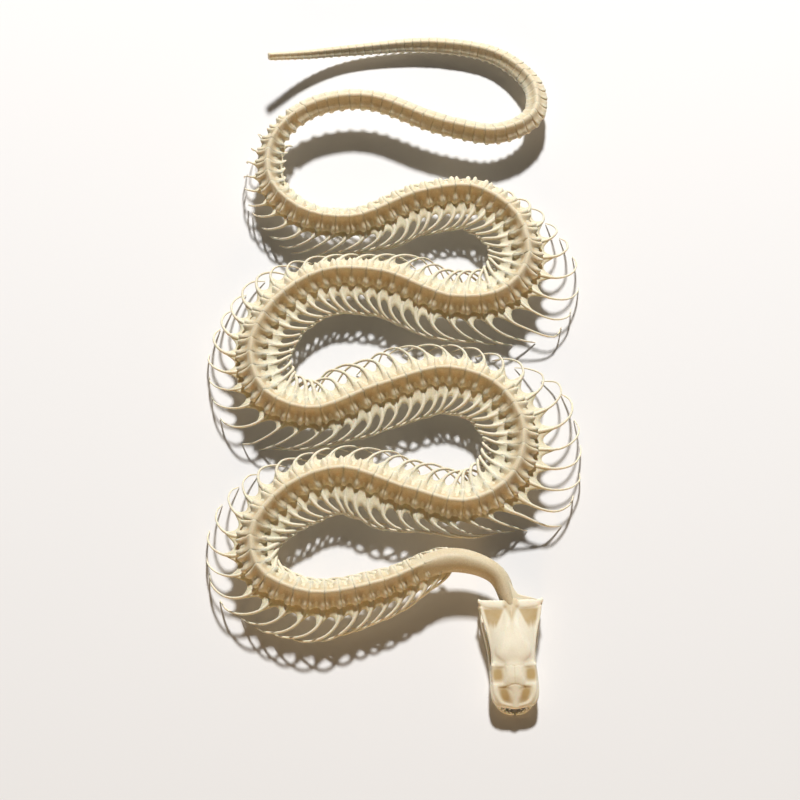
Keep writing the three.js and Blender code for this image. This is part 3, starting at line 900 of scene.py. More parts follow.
@dataclass
class Backbone:
    """Vertebrae in rows, one row for each length of the body, and the dried tissue that joins them."""

    crest: CrestLine
    bone: bpy.types.Material
    tissue: bpy.types.Material
    row_tree: NodeTree = field(default_factory=bone_row_tree)

    def build(self) -> list[bpy.types.Object]:
        """Builds all the lengths.

        Returns:
            The finished pieces.
        """
        trunk = Vertebra("trunk_vertebra", TRUNK_RINGS).build()
        tail = Vertebra("tail_vertebra", TAIL_RINGS).build()
        pieces = []
        joints = self.crest.joints()
        names = TRUNK_NAMES + TAIL_NAMES
        cuts = TRUNK_CUTS + TAIL_CUTS[1:]
        for number, (name, start, end) in enumerate(zip(names, cuts, cuts[1:])):
            nodes = [name] if name in TAIL_NAMES else [f"{name}_left", f"{name}_right"]
            own = joints[:-1][(joints[:-1] >= start - 0.1) & (joints[:-1] < end - 0.1)]
            row = self._row(f"{name}_vertebrae", own, tail if name in TAIL_NAMES else trunk, number)
            overlap = SHEATH_UNDER_SKULL if number == 0 else SHEATH_OVERLAP
            sheath = self._sheath(f"{name}_tissue", start - overlap, end + SHEATH_OVERLAP)
            for piece in (row, sheath):
                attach(piece, BODY)
                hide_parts(*nodes)
                pieces.append(piece)
        discard(trunk)
        discard(tail)
        return pieces

    def _row(self, name: str, own: np.ndarray, bone: bpy.types.Object, seed: int) -> bpy.types.Object:
        """Sets one vertebra behind each joint.

        Args:
            name: The piece's name.
            own: Joints of this length, in millimetres behind the skull.
            bone: The helper vertebra.
            seed: Seed of the small lean of each bone.

        Returns:
            The row.
        """
        length = table_value(VERTEBRA_LENGTH, own)
        middle = np.minimum(own + length / 2, self.crest.length - 1)
        place = self.crest.place(middle)
        tangent = self.crest.tangent(middle)
        rise = (self.crest.place(middle + 2)[:, 2] - self.crest.place(middle - 2)[:, 2]) / 4
        turn = np.stack(
            [np.arctan(rise), 0 * rise, np.arctan2(tangent[:, 1], tangent[:, 0]) - math.pi / 2], axis=1,
        )
        cover = table_value(BONE_FULLNESS, middle)
        high = table_value(COLUMN_HEIGHT, middle) / RING_HEIGHT * cover
        wide = table_value(COLUMN_HALF_WIDTH, middle) / RING_HALF_WIDTH * cover
        grow = np.stack([wide, length * BONE_LENGTH_SHARE, high], axis=1)
        obj = make_mesh(name, place, [])
        put_attribute(obj, "turn", turn)
        put_attribute(obj, "grow", grow)
        return self.row_tree.run(obj, {"Bone": bone, "Lean": BONE_LEAN, "Seed": seed, "Material": self.bone})

    def _sheath(self, name: str, start: float, end: float) -> bpy.types.Object:
        """Lays the dried tissue inside the roofs of the vertebrae, and as a tube over those of the neck.

        Args:
            name: The piece's name.
            start: Where it starts, in millimetres behind the skull.
            end: Where it ends.

        Returns:
            The piece.
        """
        roof, tube = (
            np.array(list(part) + [(-x, z) for x, z in part[-2:0:-1]]) for part in (TISSUE_ROOF, TISSUE_TUBE)
        )
        stations = np.linspace(start, min(end, self.crest.length - 0.6), max(int((end - start) / 2.2), 6))
        blend = 1 - smoothstep(38, 60, stations)[:, None, None]
        wide = table_value(COLUMN_HALF_WIDTH, stations) / RING_HALF_WIDTH * table_value(NECK_COVER, stations)
        high = table_value(COLUMN_HEIGHT, stations) / RING_HEIGHT
        out = self.crest.sideways(stations, Side.LEFT)
        place = self.crest.place(stations) + self.crest.tangent(stations) * np.minimum(stations, 0)[:, None]
        place[:, 2] += 0.4 * blend.ravel() - 0.5 * np.maximum(-stations, 0)
        loop = roof[None] * (1 - blend) + tube[None] * blend
        rings = place[:, None] + out[:, None] * (loop[..., :1] * wide[:, None, None])
        rings[..., 2] += loop[..., 1] * high[:, None]
        shells = ShellList()
        shells.add_rings(rings)
        obj = shells.build(name)
        shade_smooth(obj)
        put_attribute(obj, "tint", np.repeat(NECK_TINT * blend.ravel(), loop.shape[1]))
        obj.data.materials.append(self.tissue)
        return obj


# ------------------------------------------------------------------ ribs


def thin_shell(top: np.ndarray, bottom: np.ndarray) -> tuple[np.ndarray, list]:
    """Closes two grids of the same size into a thin shell.

    Args:
        top: The upper grid, an array of rows by columns by coordinates.
        bottom: The lower grid.

    Returns:
        The corners, and lists of corner numbers.
    """
    rows, cols = top.shape[:2]
    count = rows * cols
    faces = []
    for i in range(rows - 1):
        for j in range(cols - 1):
            quad = [i * cols + j, (i + 1) * cols + j, (i + 1) * cols + j + 1, i * cols + j + 1]
            faces.append(quad)
            faces.append([count + k for k in quad[::-1]])
    rim = [i * cols for i in range(rows)] + [(rows - 1) * cols + j for j in range(1, cols)]
    rim += [i * cols + cols - 1 for i in range(rows - 2, -1, -1)] + list(range(cols - 2, 0, -1))
    for a, b in zip(rim, rim[1:] + rim[:1]):
        faces.append([b, a, count + a, count + b])
    return np.vstack([top.reshape(-1, 3), bottom.reshape(-1, 3)]), faces


# Back, out and down along a full rib, as shares of its sweep, reach and fall.
# The first point takes its own place.
RIB_COURSE = (
    (0.0, 0.36, 0.40), (0.09, 0.74, 0.385), (0.34, 0.985, 0.475), (0.70, 0.955, 0.725), (1.0, 0.74, 1.0),
)
OPEN_COURSE = (0.36, 0.55, 0.81, 0.96, 0.99)
RIB_GIRTH = ((0.0, 1.2), (0.08, 1.35), (0.16, 1.0), (0.24, 0.74), (0.42, 0.54), (0.8, 0.44), (1.0, 0.25))
RIB_SAMPLES = 4


@dataclass
class RibCage:
    """Ribs of both sides, with the scalloped webs of dried tissue between their roots."""

    crest: CrestLine
    bone: bpy.types.Material
    tissue: bpy.types.Material
    tree: NodeTree = field(default_factory=tube_tree)
    random: np.random.Generator = field(default_factory=lambda: np.random.default_rng(RIB_SEED))

    def build(self) -> list[bpy.types.Object]:
        """Builds the ribs and webs of every length and side.

        Returns:
            The finished pieces.
        """
        joints = self.crest.joints()
        joints = joints[(joints > FIRST_RIB) & (joints < LAST_RIB)]
        pieces = []
        for side in Side:
            lines = [self._line(float(d), side) for d in joints]
            inward = np.clip(self.crest.turn(joints) * side.value * TIGHT_BEND, -1, 1)
            for name, start, end in zip(TRUNK_NAMES, TRUNK_CUTS, TRUNK_CUTS[1:]):
                own = [k for k, d in enumerate(joints) if start - 0.1 <= d < end - 0.1]
                node = f"{name}_{side.name.lower()}"
                ribs = self._ribs(f"{node}_ribs", [(lines[k], inward[k]) for k in own])
                pairs = [(lines[k], lines[k + 1], inward[k]) for k in own if k + 1 < len(lines)]
                webs = self._webs(f"{node}_webs", pairs)
                for piece in (ribs, webs):
                    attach(piece, BODY)
                    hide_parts(node)
                    pieces.append(piece)
        return pieces

    def _line(self, joint: float, side: Side) -> np.ndarray:
        """Course of one rib.

        Args:
            joint: The joint it starts behind, in millimetres behind the skull.
            side: The side of the body.

        Returns:
            Points from root to tip.
        """
        crest = self.crest
        start = joint + 0.12 * float(table_value(VERTEBRA_LENGTH, joint))
        full = float(table_value(RIB_FULLNESS, start))
        width = float(table_value(COLUMN_HALF_WIDTH, start))
        top = float(crest.place(np.array(start))[2])
        depth = float(table_value(COLUMN_HEIGHT, start))
        open_share = float(crest.openness(np.array(start), side))
        sweep = (STUB_SWEEP + (FULL_SWEEP - STUB_SWEEP) * full) * (1 + 0.05 * self.random.standard_normal())
        sweep *= (1 - (1 - OUTER_SWEEP) * open_share) * (1 - 0.5 * float(smoothstep(715, 780, start)))
        tip = (1 - full) * (top - depth) * 0.9 + RIB_TIP_HEIGHT
        course = np.array(RIB_COURSE)
        back = course[:, 0] * sweep
        reach = crest.reach(start + back, side)
        out = (course[:, 1] * (1 - open_share) + np.array(OPEN_COURSE) * open_share) * reach
        out[0] = 0.45 * width
        out[1:] = np.maximum(out[1:], 0.9 * width)
        down = course[:, 2] * (top - tip)
        down[0] = 0.7 * depth
        down[1] = max(down[1], 0.68 * depth)
        wobble = self.random.standard_normal(3) * (0.35, 0.3, 0.25)
        share = np.linspace(0, 1, len(back))
        rows = np.stack([back + wobble[0] * share, out + wobble[1] * share, down], axis=1)
        rows = smooth_line(rows, RIB_SAMPLES)
        line = crest.beside(start, side, np.maximum(rows[:, 0], 0), rows[:, 1])
        line[:, 2] = np.maximum(top - rows[:, 2], RIB_TIP_HEIGHT)
        return line

    def _ribs(self, name: str, lines: list[tuple[np.ndarray, float]]) -> bpy.types.Object:
        """Makes round tapered tubes along the courses, stouter on the inside of a bend.

        Args:
            name: The piece's name.
            lines: Each rib's course, and its bend, from -1 outside to 1 inside.

        Returns:
            The piece.
        """
        points, edges, girths = [], [], []
        for line, inward in lines:
            first = len(points)
            run = np.r_[0, np.cumsum(np.linalg.norm(np.diff(line, axis=0), axis=1))]
            stout = (
                1.15 + 0.06 * self.random.standard_normal() + (0.22 * inward if inward > 0 else 0.25 * inward)
            )
            thick = table_value(RIB_GIRTH, run / run[-1]) * min(1.0, run[-1] / 24) * stout
            points += list(line)
            girths += list(thick * MM)
            edges += [(first + i, first + i + 1) for i in range(len(line) - 1)]
        obj = make_mesh(name, np.array(points), [], edges)
        put_attribute(obj, "girth", np.array(girths))
        return self.tree.run(obj, {"Sides": 7, "Material": self.bone})

    def _webs(self, name: str, pairs: list[tuple[np.ndarray, np.ndarray, float]]) -> bpy.types.Object:
        """Stretches a thin scalloped web between the roots of each two ribs.

        Args:
            name: The piece's name.
            pairs: The courses of each two ribs, and their bend, from -1 to 1.

        Returns:
            The piece.
        """
        shells = ShellList()
        across, outwards = 9, 5
        u = np.linspace(0, 1, across)
        for first, second, inward in pairs:
            valley = 0.16 + 0.03 * self.random.random() + (0.1 if inward > 0 else 0.03) * inward
            edge = valley + 0.15 + 0.05 * self.random.random()
            rise = 2.2 if inward > 0.1 else 1.0
            margin = valley + (edge - valley) * np.abs(2 * u - 1) ** 2.4
            layers = []
            for lift in (WEB_HALF_THICKNESS, -WEB_HALF_THICKNESS):
                grid = []
                for share, far in zip(u, margin):
                    s = np.linspace(0, far, outwards)
                    a, b = self._along(first, s), self._along(second, s)
                    row = a * (1 - share) + b * share
                    row[:, 2] += (
                        lift * (1 - 0.5 * np.linspace(0, 1, outwards))
                        + rise * (1 - np.linspace(0, 1, outwards)) ** 1.5
                    )
                    grid.append(row)
                layers.append(np.array(grid))
            shells.add(*thin_shell(layers[0], layers[1]))
        obj = shells.build(name)
        shade_smooth(obj)
        obj.data.materials.append(self.tissue)
        return obj

    def _along(self, line: np.ndarray, share: np.ndarray) -> np.ndarray:
        """Points at shares of a rib's length."""
        run = np.r_[0, np.cumsum(np.linalg.norm(np.diff(line, axis=0), axis=1))]
        return np.stack([np.interp(share * run[-1], run, line[:, k]) for k in range(3)], axis=1)


# ------------------------------------------------------------------ skull

# Braincase and roof: forward, half-width, top, bottom, squareness.
BRAINCASE = (
    (-3.8, 1.7, 11.9, 9.1, 2.0), (-2.2, 2.6, 12.7, 8.2, 2.0), (0, 3.9, 13.3, 7.2, 2.1),
    (3, 4.6, 13.6, 6.6, 2.2), (6.5, 5.1, 13.9, 6.2, 2.2), (10, 6.1, 14.1, 6.1, 2.3),
    (15, 7.3, 14.2, 6.1, 2.4), (19, 7.9, 14.1, 6.2, 2.5), (21.5, 7.7, 13.8, 6.4, 2.5),
    (23.4, 6.5, 13.4, 6.7, 2.6), (24.8, 5.0, 13.1, 6.9, 2.8), (27, 4.3, 12.9, 7.0, 3.0),
    (30.6, 4.2, 12.5, 7.0, 3.0), (32.6, 5.0, 11.9, 6.9, 2.8), (34.2, 5.2, 11.2, 6.9, 2.7),
    (35.6, 3.2, 10.7, 6.7, 2.5), (37.6, 2.0, 10.0, 6.2, 2.3), (40.4, 1.9, 8.9, 5.8, 2.2),
    (43.2, 1.8, 7.8, 5.6, 2.0),
)
# Bars of the right half: x, forward, height, width, depth.
RIGHT_BARS = (
    (
        "maxilla",
        (
            (8.4, 20.5, 6.8, 1.0, 1.3), (9.0, 25, 7.1, 1.6, 2.2), (9.3, 31, 7.3, 1.9, 2.8),
            (9.3, 36, 7.1, 2.0, 3.2), (8.4, 39.6, 6.8, 2.2, 2.9), (6.2, 41.8, 6.4, 2.2, 2.2),
        ),
    ),
    (
        "snout",
        (
            (7.6, 33.0, 9.5, 3.8, 1.7), (7.9, 35.5, 8.9, 3.0, 2.0), (7.5, 38.2, 8.2, 2.6, 2.2),
            (5.8, 40.6, 7.5, 2.4, 2.0), (3.0, 41.6, 7.1, 2.0, 1.8), (0, 41.9, 7.0, 2.0, 1.8),
        ),
    ),
    ("premaxilla", ((6.6, 41.4, 6.6, 1.7, 1.5), (3.6, 42.1, 6.5, 1.5, 1.3), (0, 42.5, 6.5, 1.5, 1.3))),
    (
        "postorbital",
        ((2.6, 24.7, 12.3, 3.6, 0.5), (6.4, 24.6, 11.3, 3.6, 0.5), (8.8, 25.0, 10.3, 2.6, 0.9)),
    ),
    (
        "postorbital_leg",
        ((8.6, 25.2, 10.9, 1.6, 2.2), (9.2, 25.7, 8.4, 1.1, 1.6), (9.2, 26.1, 6.4, 1.4, 1.7)),
    ),
    ("prefrontal", ((3.4, 33.4, 10.8, 2.6, 0.7), (6.2, 33.3, 10.0, 2.9, 0.8), (8.6, 33.1, 9.2, 3.4, 1.8))),
    ("prefrontal_foot", ((8.7, 32.7, 9.2, 1.8, 2.6), (9.4, 32.9, 6.9, 1.6, 2.4))),
    ("orbit_rim", ((8.9, 25.6, 9.9, 1.0, 1.1), (9.35, 28.6, 9.2, 0.9, 1.0), (9.1, 31.9, 9.3, 1.0, 1.0))),
    (
        "supratemporal",
        (
            (0.4, -0.6, 12.75, 3.4, 0.7), (5.2, -0.9, 12.55, 3.7, 0.6), (9.0, -1.3, 12.0, 3.6, 0.7),
            (11.6, -1.8, 11.5, 3.1, 0.9), (13.0, -2.4, 11.5, 2.2, 1.2), (13.7, -3.7, 11.4, 0.7, 0.8),
        ),
    ),
    ("nape", ((0.4, -3.4, 12.3, 2.4, 1.0), (1.6, -1.2, 12.7, 4.2, 0.9), (2.6, 0.6, 12.9, 3.0, 0.7))),
    ("wing", ((3.2, 2.2, 9.6, 3.2, 3.2), (6.0, 1.0, 9.6, 2.6, 2.6), (8.6, -0.4, 10.0, 1.8, 1.8))),
    (
        "cheek_edge",
        (
            (12.6, -0.8, 11.2, 1.6, 1.4), (11.8, 4.5, 10.8, 1.3, 1.1), (10.5, 9.5, 10.5, 1.2, 1.1),
            (9.4, 15, 10.0, 1.3, 1.2), (8.7, 20.5, 9.6, 1.4, 1.5), (8.9, 25.2, 8.6, 1.4, 1.8),
        ),
    ),
    (
        "pterygoid",
        (
            (10.6, 0.4, 5.4, 1.0, 1.2), (6.2, 12, 5.4, 1.8, 1.0), (4.4, 24, 5.6, 1.6, 1.0),
            (3.4, 34, 6.7, 1.4, 3.0),
        ),
    ),
)
# Dried sheets of the right half over the fossa, orbit and nostril, tinted tan partly as painted shade of
# those hollows: sag, then forward, inner x, inner height, outer x, outer height.
RIGHT_SHEETS = (
    (
        -0.1, (-1.4, 2.0, 12.5, 12.6, 11.5), (0.5, 2.6, 12.7, 12.5, 11.3), (3.5, 3.2, 12.7, 11.9, 11.0),
        (8, 4.0, 12.9, 10.7, 10.7), (13, 4.8, 13.1, 9.7, 10.5), (18, 5.8, 12.9, 9.1, 10.5),
        (22.5, 5.2, 12.6, 8.9, 10.4), (25.4, 3.8, 12.3, 8.9, 10.3),
    ),
    (
        0.2, (24.6, 3.2, 12.3, 8.9, 10.9), (27, 3.2, 12.1, 9.2, 10.4), (30, 3.2, 11.8, 9.3, 10.1),
        (33.2, 3.4, 11.1, 9.2, 9.9),
    ),
    (
        0.15, (32.6, 2.4, 10.9, 8.8, 9.9), (36, 1.4, 10.3, 8.2, 9.5), (39, 1.0, 9.3, 7.2, 8.6),
        (41.4, 0.8, 8.0, 4.4, 7.8),
    ),
)
QUADRATE = (
    (12.9, -2.4, 10.6, 1.5, 3.2), (13.1, -2.0, 9.0, 1.1, 2.6), (12.9, -1.9, 6.8, 1.1, 1.9),
    (12.6, -2.6, 4.2, 2.2, 1.9),
)
MANDIBLE = (
    (12.4, -4.6, 2.1, 1.2, 1.6), (12.4, -3.0, 2.3, 2.0, 3.0), (12.3, -1.0, 1.95, 2.0, 3.6),
    (12.2, 2.0, 2.1, 1.4, 3.9), (11.8, 6.0, 2.45, 1.5, 4.7), (10.6, 12.5, 2.3, 1.6, 4.3),
    (9.5, 20, 1.8, 1.7, 3.5), (9.1, 29, 1.45, 1.7, 2.8), (8.5, 36, 1.3, 1.7, 2.5),
    (6.8, 40.4, 1.15, 1.7, 2.2), (4.6, 42.6, 1.0, 1.5, 1.8), (2.4, 43.5, 0.95, 1.4, 1.7),
    (0.3, 43.7, 0.95, 1.4, 1.7),
)
# Rows of teeth: x, forward, from the back of the jaw to its tip.
UPPER_TOOTH_LINE = ((9.2, 24.5), (9.5, 29), (9.6, 34), (9.1, 38), (7.6, 40.9), (5.0, 42.3), (1.6, 42.9))
LOWER_TOOTH_LINE = ((9.0, 25.5), (8.9, 31), (8.4, 36), (6.8, 40.1), (4.6, 42.5), (2.4, 43.4), (0.8, 43.6))


@dataclass(frozen=True)
class SkullSeat:
    """Where the skull lies: its own x, forward and height become places on the floor."""

    x: float = CREST[0][0] - MIDDLE[0]
    y: float = CREST[0][1] - MIDDLE[1]
    angle: float = math.pi + SKULL_YAW

    def world(self, points: np.ndarray) -> np.ndarray:
        """Turns skull places into places on the floor.

        Args:
            points: Rows of x, forward and height.

        Returns:
            Rows of x, y, z in millimetres.
        """
        points = np.asarray(points, float)
        cos, sin = math.cos(self.angle), math.sin(self.angle)
        x = self.x + points[..., 0] * cos - points[..., 1] * sin
        y = self.y + points[..., 0] * sin + points[..., 1] * cos
        return np.stack([x, y, points[..., 2]], axis=-1)

    def local(self, points: np.ndarray) -> np.ndarray:
        """Turns places on the floor back into skull places.

        Args:
            points: Rows of x, y, z in millimetres.

        Returns:
            Rows of x, forward and height.
        """
        points = np.asarray(points, float)
        cos, sin = math.cos(self.angle), math.sin(self.angle)
        dx, dy = points[..., 0] - self.x, points[..., 1] - self.y
        return np.stack([dx * cos + dy * sin, -dx * sin + dy * cos, points[..., 2]], axis=-1)


def sweep(rows: tuple, mirror: float = 1.0, around: int = 14, steps: int = 5) -> np.ndarray:
    """Rings of an oval bar along a smooth line.

    Args:
        rows: x, forward, height, width and depth at points of the line.
        mirror: -1 gives the bar of the left half.
        around: Corners in each ring.
        steps: Rings between two points.

    Returns:
        The rings, with narrowed ends.
    """
    line = smooth_line(np.array(rows, float), steps)
    line[:, 0] *= mirror
    run = np.gradient(line[:, :3], axis=0)
    run /= np.linalg.norm(run, axis=1, keepdims=True)
    side = np.stack([run[:, 1], -run[:, 0], 0 * run[:, 0]], axis=1)
    steep = np.linalg.norm(side, axis=1) < 0.5
    side[steep] = (1, 0, 0)
    side -= run * np.einsum("ij,ij->i", side, run)[:, None]
    side /= np.linalg.norm(side, axis=1, keepdims=True)
    up = np.cross(side, run)
    turn = np.linspace(0, 2 * math.pi, around, endpoint=False)
    ends = np.ones(len(line))
    ends[0] = ends[-1] = 0.55
    wide = (line[:, 3] / 2 * ends)[:, None, None]
    deep = (line[:, 4] / 2 * ends)[:, None, None]
    centre = line[:, None, :3]
    return (
        centre
        + side[:, None] * np.cos(turn)[None, :, None] * wide
        + up[:, None] * np.sin(turn)[None, :, None] * deep
    )


@dataclass
class Skull:
    """The skull: roofed braincase, upper jaw, cheeks, quadrates, lower jaws and teeth."""

    crest: CrestLine
    bone: bpy.types.Material
    tissue: bpy.types.Material
    enamel: bpy.types.Material
    tooth_tree: NodeTree
    seat: SkullSeat = field(default_factory=SkullSeat)

    def build(self) -> list[bpy.types.Object]:
        """Builds the skull.

        Returns:
            The finished pieces.
        """
        cranium = self._cranium()
        pieces = [
            (cranium, ["cranium"]),
            (self._nape_sheet(), ["cranium"]),
            (
                self._teeth("upper_teeth", UPPER_TOOTH_LINE, count=12, root=5.5, length=2.6, up=-1),
                ["cranium"],
            ),
        ]
        for side, mirror in (("right", 1.0), ("left", -1.0)):
            pieces.append((self._bar(f"quadrate_bone_{side}", QUADRATE, mirror), [f"quadrate_{side}"]))
            pieces.append((self._mandible(side, mirror), [f"mandible_{side}"]))
        pieces.append((
            self._teeth("lower_teeth", LOWER_TOOTH_LINE, count=13, root=1.8, length=3.0, up=1),
            ["mandible_right", "mandible_left"],
        ))
        for piece, nodes in pieces:
            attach(piece, BODY)
            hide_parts(*nodes)
        return [piece for piece, _ in pieces]

    def _fused(self, name: str, shells: ShellList, voxel: float, rounds: int) -> bpy.types.Object:
        """Fuses overlapping shells into one skin and softens it.

        Args:
            name: The piece's name.
            shells: Closed shells in places on the floor.
            voxel: Grain of the skin in millimetres.
            rounds: Rounds of softening.

        Returns:
            The piece.
        """
        obj = shells.build(name)
        grain = obj.modifiers.new("skin", "REMESH")
        grain.mode = "VOXEL"
        grain.voxel_size = voxel * MM
        grain.use_smooth_shade = True
        soft = obj.modifiers.new("soft", "SMOOTH")
        soft.factor = 0.5
        soft.iterations = rounds
        return plain_mesh(obj)

    def _cranium(self) -> bpy.types.Object:
        """Fuses the braincase, the bars and the dried sheets, then shapes and tints the skin.

        Returns:
            The piece.
        """
        shells = ShellList()
        rows = smooth_line(np.array([(0, f, (t + b) / 2, w, t, b, q) for f, w, t, b, q in BRAINCASE]), 5)
        turn = np.linspace(0, 2 * math.pi, 36, endpoint=False)
        rings = []
        for _, forward, _, half, top, bottom, square in rows:
            across, up = np.cos(turn), np.sin(turn)
            across = np.sign(across) * np.abs(across) ** (2 / square)
            up = np.sign(up) * np.abs(up) ** (2 / square)
            height = (top + bottom) / 2 + up * (top - bottom) / 2
            rings.append(np.stack([across * half, np.full_like(turn, forward), height], axis=1))
        shells.add_rings(self.seat.world(np.array(rings)))
        for mirror in (1.0, -1.0):
            for _, bar in RIGHT_BARS:
                shells.add_rings(self.seat.world(sweep(bar, mirror)))
            for rows in RIGHT_SHEETS:
                shells.add_rings(self.seat.world(self._sheet(rows, mirror)))
        obj = self._fused("cranium_bone", shells, voxel=0.3, rounds=6)
        self._shape_roof(obj)
        self._tint_roof(obj)
        obj.data.materials.append(self.bone)
        return obj

    def _shape_roof(self, obj: bpy.types.Object) -> None:
        """Raises low ridges and sinks sutures into the roof.

        Args:
            obj: The cranium.
        """
        place = self.seat.local(corners_of(obj))
        x, f, z = place.T
        roof = smoothstep(9.8, 11.8, z)
        ridge = np.exp(-((x / 0.55) ** 2)) * smoothstep(1.0, 3.5, f) * (1 - smoothstep(6.0, 13.0, f))
        slope = (
            np.exp(-(((np.abs(x) - 0.30 * (f - 1.5)) / 0.8) ** 2))
            * smoothstep(7, 10, f)
            * (1 - smoothstep(16, 21, f))
        )
        lift = 0.35 * ridge + 0.16 * slope - 0.2 * self._sutures(x, f)
        place[:, 2] = z + roof * lift
        move_corners(obj, self.seat.world(place))

    def _sutures(self, x: np.ndarray, f: np.ndarray) -> np.ndarray:
        """Seams between the roof bones.

        Args:
            x: Places across the skull.
            f: Places forward.

        Returns:
            Their depth, from 0 to 1.
        """
        far = np.abs(x)
        wave = 0.22 * np.sin(far * 3.1) + 0.1 * np.sin(far * 7.3 + 0.6)
        coronal = 0.35 * np.exp(-(((f - 26.2 - wave + 0.05 * far) / 0.3) ** 2)) * (far < 4.4)
        nasal = np.exp(-(((f - 33.7 - 0.26 * far - 0.5 * wave) / 0.24) ** 2)) * (far < 4.4)
        middle = 0.6 * np.exp(-(((x + 0.06 * np.sin(f * 2.3)) / 0.17) ** 2)) * (f > 26.2) * (f < 33.6)
        return np.clip(coronal + nasal + middle, 0, 1)

    def _tint_roof(self, obj: bpy.types.Object) -> None:
        """Stores how tan each corner of the cranium is, with painted shade low on the sides and in the
        fossae, orbits and nostrils.

        Args:
            obj: The cranium.
        """
        x, f, z = self.seat.local(corners_of(obj)).T
        far = np.abs(x)
        ragged = 0.5 * np.sin(x * 3.7) + 0.35 * np.sin(x * 6.1 + 1.3)
        # Painted shade: tan low on the skull, below about 8.6 mm and behind the nostrils.
        low = 0.42 * (1 - smoothstep(6.0, 8.6, z)) * (1 - smoothstep(28, 34, f)) * (far < 8.0)
        nape = smoothstep(-0.9, 0.9, 3.2 - 0.45 * np.maximum(f, 0) - far) * smoothstep(10.0, 12.0, z)
        inner = smoothstep(-0.3, 1.1, far - 2.1 - 0.45 * np.maximum(f, 0))
        # The fossa tint is partly the tan of the dried sheet and partly painted shade of the hollow it fills.
        fossa = (
            inner
            * smoothstep(0.9, 2.2, f + 0.06 * far)
            * (1 - smoothstep(6.6, 11.0, f + 0.7 * ragged + 0.4 * np.abs(far - 6.8)))
        )
        fossa = fossa * (1 - smoothstep(11.2, 12.4, far + 0.22 * f))
        # The orbit and nostril tints are partly the tan of the dried sheets and partly painted shade of the
        # openings they fill.
        orbit = np.exp(-np.abs((f - 29.4) / 3.1) ** 3.2 - np.abs((far - 7.0) / 2.4) ** 3.2)
        nose = (
            np.exp(-(np.abs((f - 37.6) / 3.3) ** 3) - np.abs((far - 4.3 + 0.3 * (f - 37.6)) / 2.0) ** 3)
            * smoothstep(6.0, 8.0, z)
        )
        tint = 0.03 + low + 0.6 * nape + 0.8 * fossa + 1.05 * orbit + 1.05 * nose + 0.4 * self._sutures(x, f)
        tint -= 0.14 * (np.exp(-(((f - 25.2) / 1.2) ** 2)) + np.exp(-(((f - 33.3) / 1.3) ** 2)) * (far > 4.8))
        tint -= 0.12 * smoothstep(8.2, 9.0, far) * smoothstep(26, 30, f)
        put_attribute(obj, "tint", np.clip(tint, -0.2, 1))

    def _sheet(self, rows: tuple, mirror: float) -> np.ndarray:
        """Rings of a dried sheet that spans two edges.

        Args:
            rows: Sag, then forward, inner x, inner height, outer x and outer height at points of the sheet.
            mirror: -1 gives the sheet of the left half.

        Returns:
            The rings in skull places.
        """
        line = smooth_line(np.array(rows[1:], float), 4)
        share = np.linspace(0, 1, 9)[None, :]
        x = line[:, 1:2] * (1 - share) + line[:, 3:4] * share
        z = line[:, 2:3] * (1 - share) + line[:, 4:5] * share - rows[0] * np.sin(share * math.pi)
        top = np.stack([x * mirror, np.repeat(line[:, :1], 9, axis=1), z], axis=-1)
        return np.array([np.vstack([row, (row - [0, 0, 0.9])[::-1]]) for row in top])

    def _nape_sheet(self) -> bpy.types.Object:
        """Stretches the dried sheet between the left side of the neck and the skull's left rear corner.

        Returns:
            The piece.
        """
        share = np.linspace(0, 1, 14)
        far = np.linspace(0, 1, 9)
        station = NAPE_SHEET_LENGTH * share
        neck = self.crest.place(station) + self.crest.sideways(station, Side.LEFT) * 1.4
        neck[:, 2] -= 1.5
        bar = self.seat.world(np.stack([-2.0 - 10.9 * share, -1.6 - 0.7 * share, 12.4 - 1.0 * share], axis=1))
        grid = []
        for k in far:
            pull = share * (1 - 0.5 * math.sin(math.pi * k))
            a = np.stack([np.interp(pull, share, neck[:, j]) for j in range(3)], axis=1)
            b = np.stack([np.interp(pull, share, bar[:, j]) for j in range(3)], axis=1)
            grid.append(a * (1 - k) + b * k)
        top = np.array(grid)
        shells = ShellList()
        shells.add(*thin_shell(top + [0, 0, 0.25], top - [0, 0, 0.25]))
        obj = shells.build("nape_sheet")
        shade_smooth(obj)
        obj.data.materials.append(self.tissue)
        return obj

    def _bar(self, name: str, rows: tuple, mirror: float) -> bpy.types.Object:
        """Makes one oval bar as a piece.

        Args:
            name: The piece's name.
            rows: x, forward, height, width and depth at points of the bar.
            mirror: -1 gives the bar of the left half.

        Returns:
            The piece.
        """
        shells = ShellList()
        shells.add_rings(self.seat.world(sweep(rows, mirror, around=20, steps=6)))
        obj = shells.build(name)
        shade_smooth(obj)
        put_attribute(obj, "tint", np.full(len(obj.data.vertices), -0.05))
        obj.data.materials.append(self.bone)
        return obj

    def _mandible(self, side: str, mirror: float) -> bpy.types.Object:
        """Makes one lower jaw, which rests on the floor, with a groove along its outer face.

        Args:
            side: right or left.
            mirror: -1 gives the left jaw.

        Returns:
            The piece.
        """
        obj = self._bar(f"mandible_bone_{side}", MANDIBLE, mirror)
        place = self.seat.local(corners_of(obj))
        f, z = place[:, 1], place[:, 2]
        groove = np.exp(-(((z - 2.1) / 0.5) ** 2)) * smoothstep(1, 5, f) * (1 - smoothstep(17, 22, f))
        centre = np.interp(f, [row[1] for row in MANDIBLE], [row[0] for row in MANDIBLE]) * mirror
        place[:, 0] -= 0.35 * groove * np.sign(place[:, 0] - centre)
        place[:, 2] = np.maximum(z, 0.0)
        move_corners(obj, self.seat.world(place))
        return obj

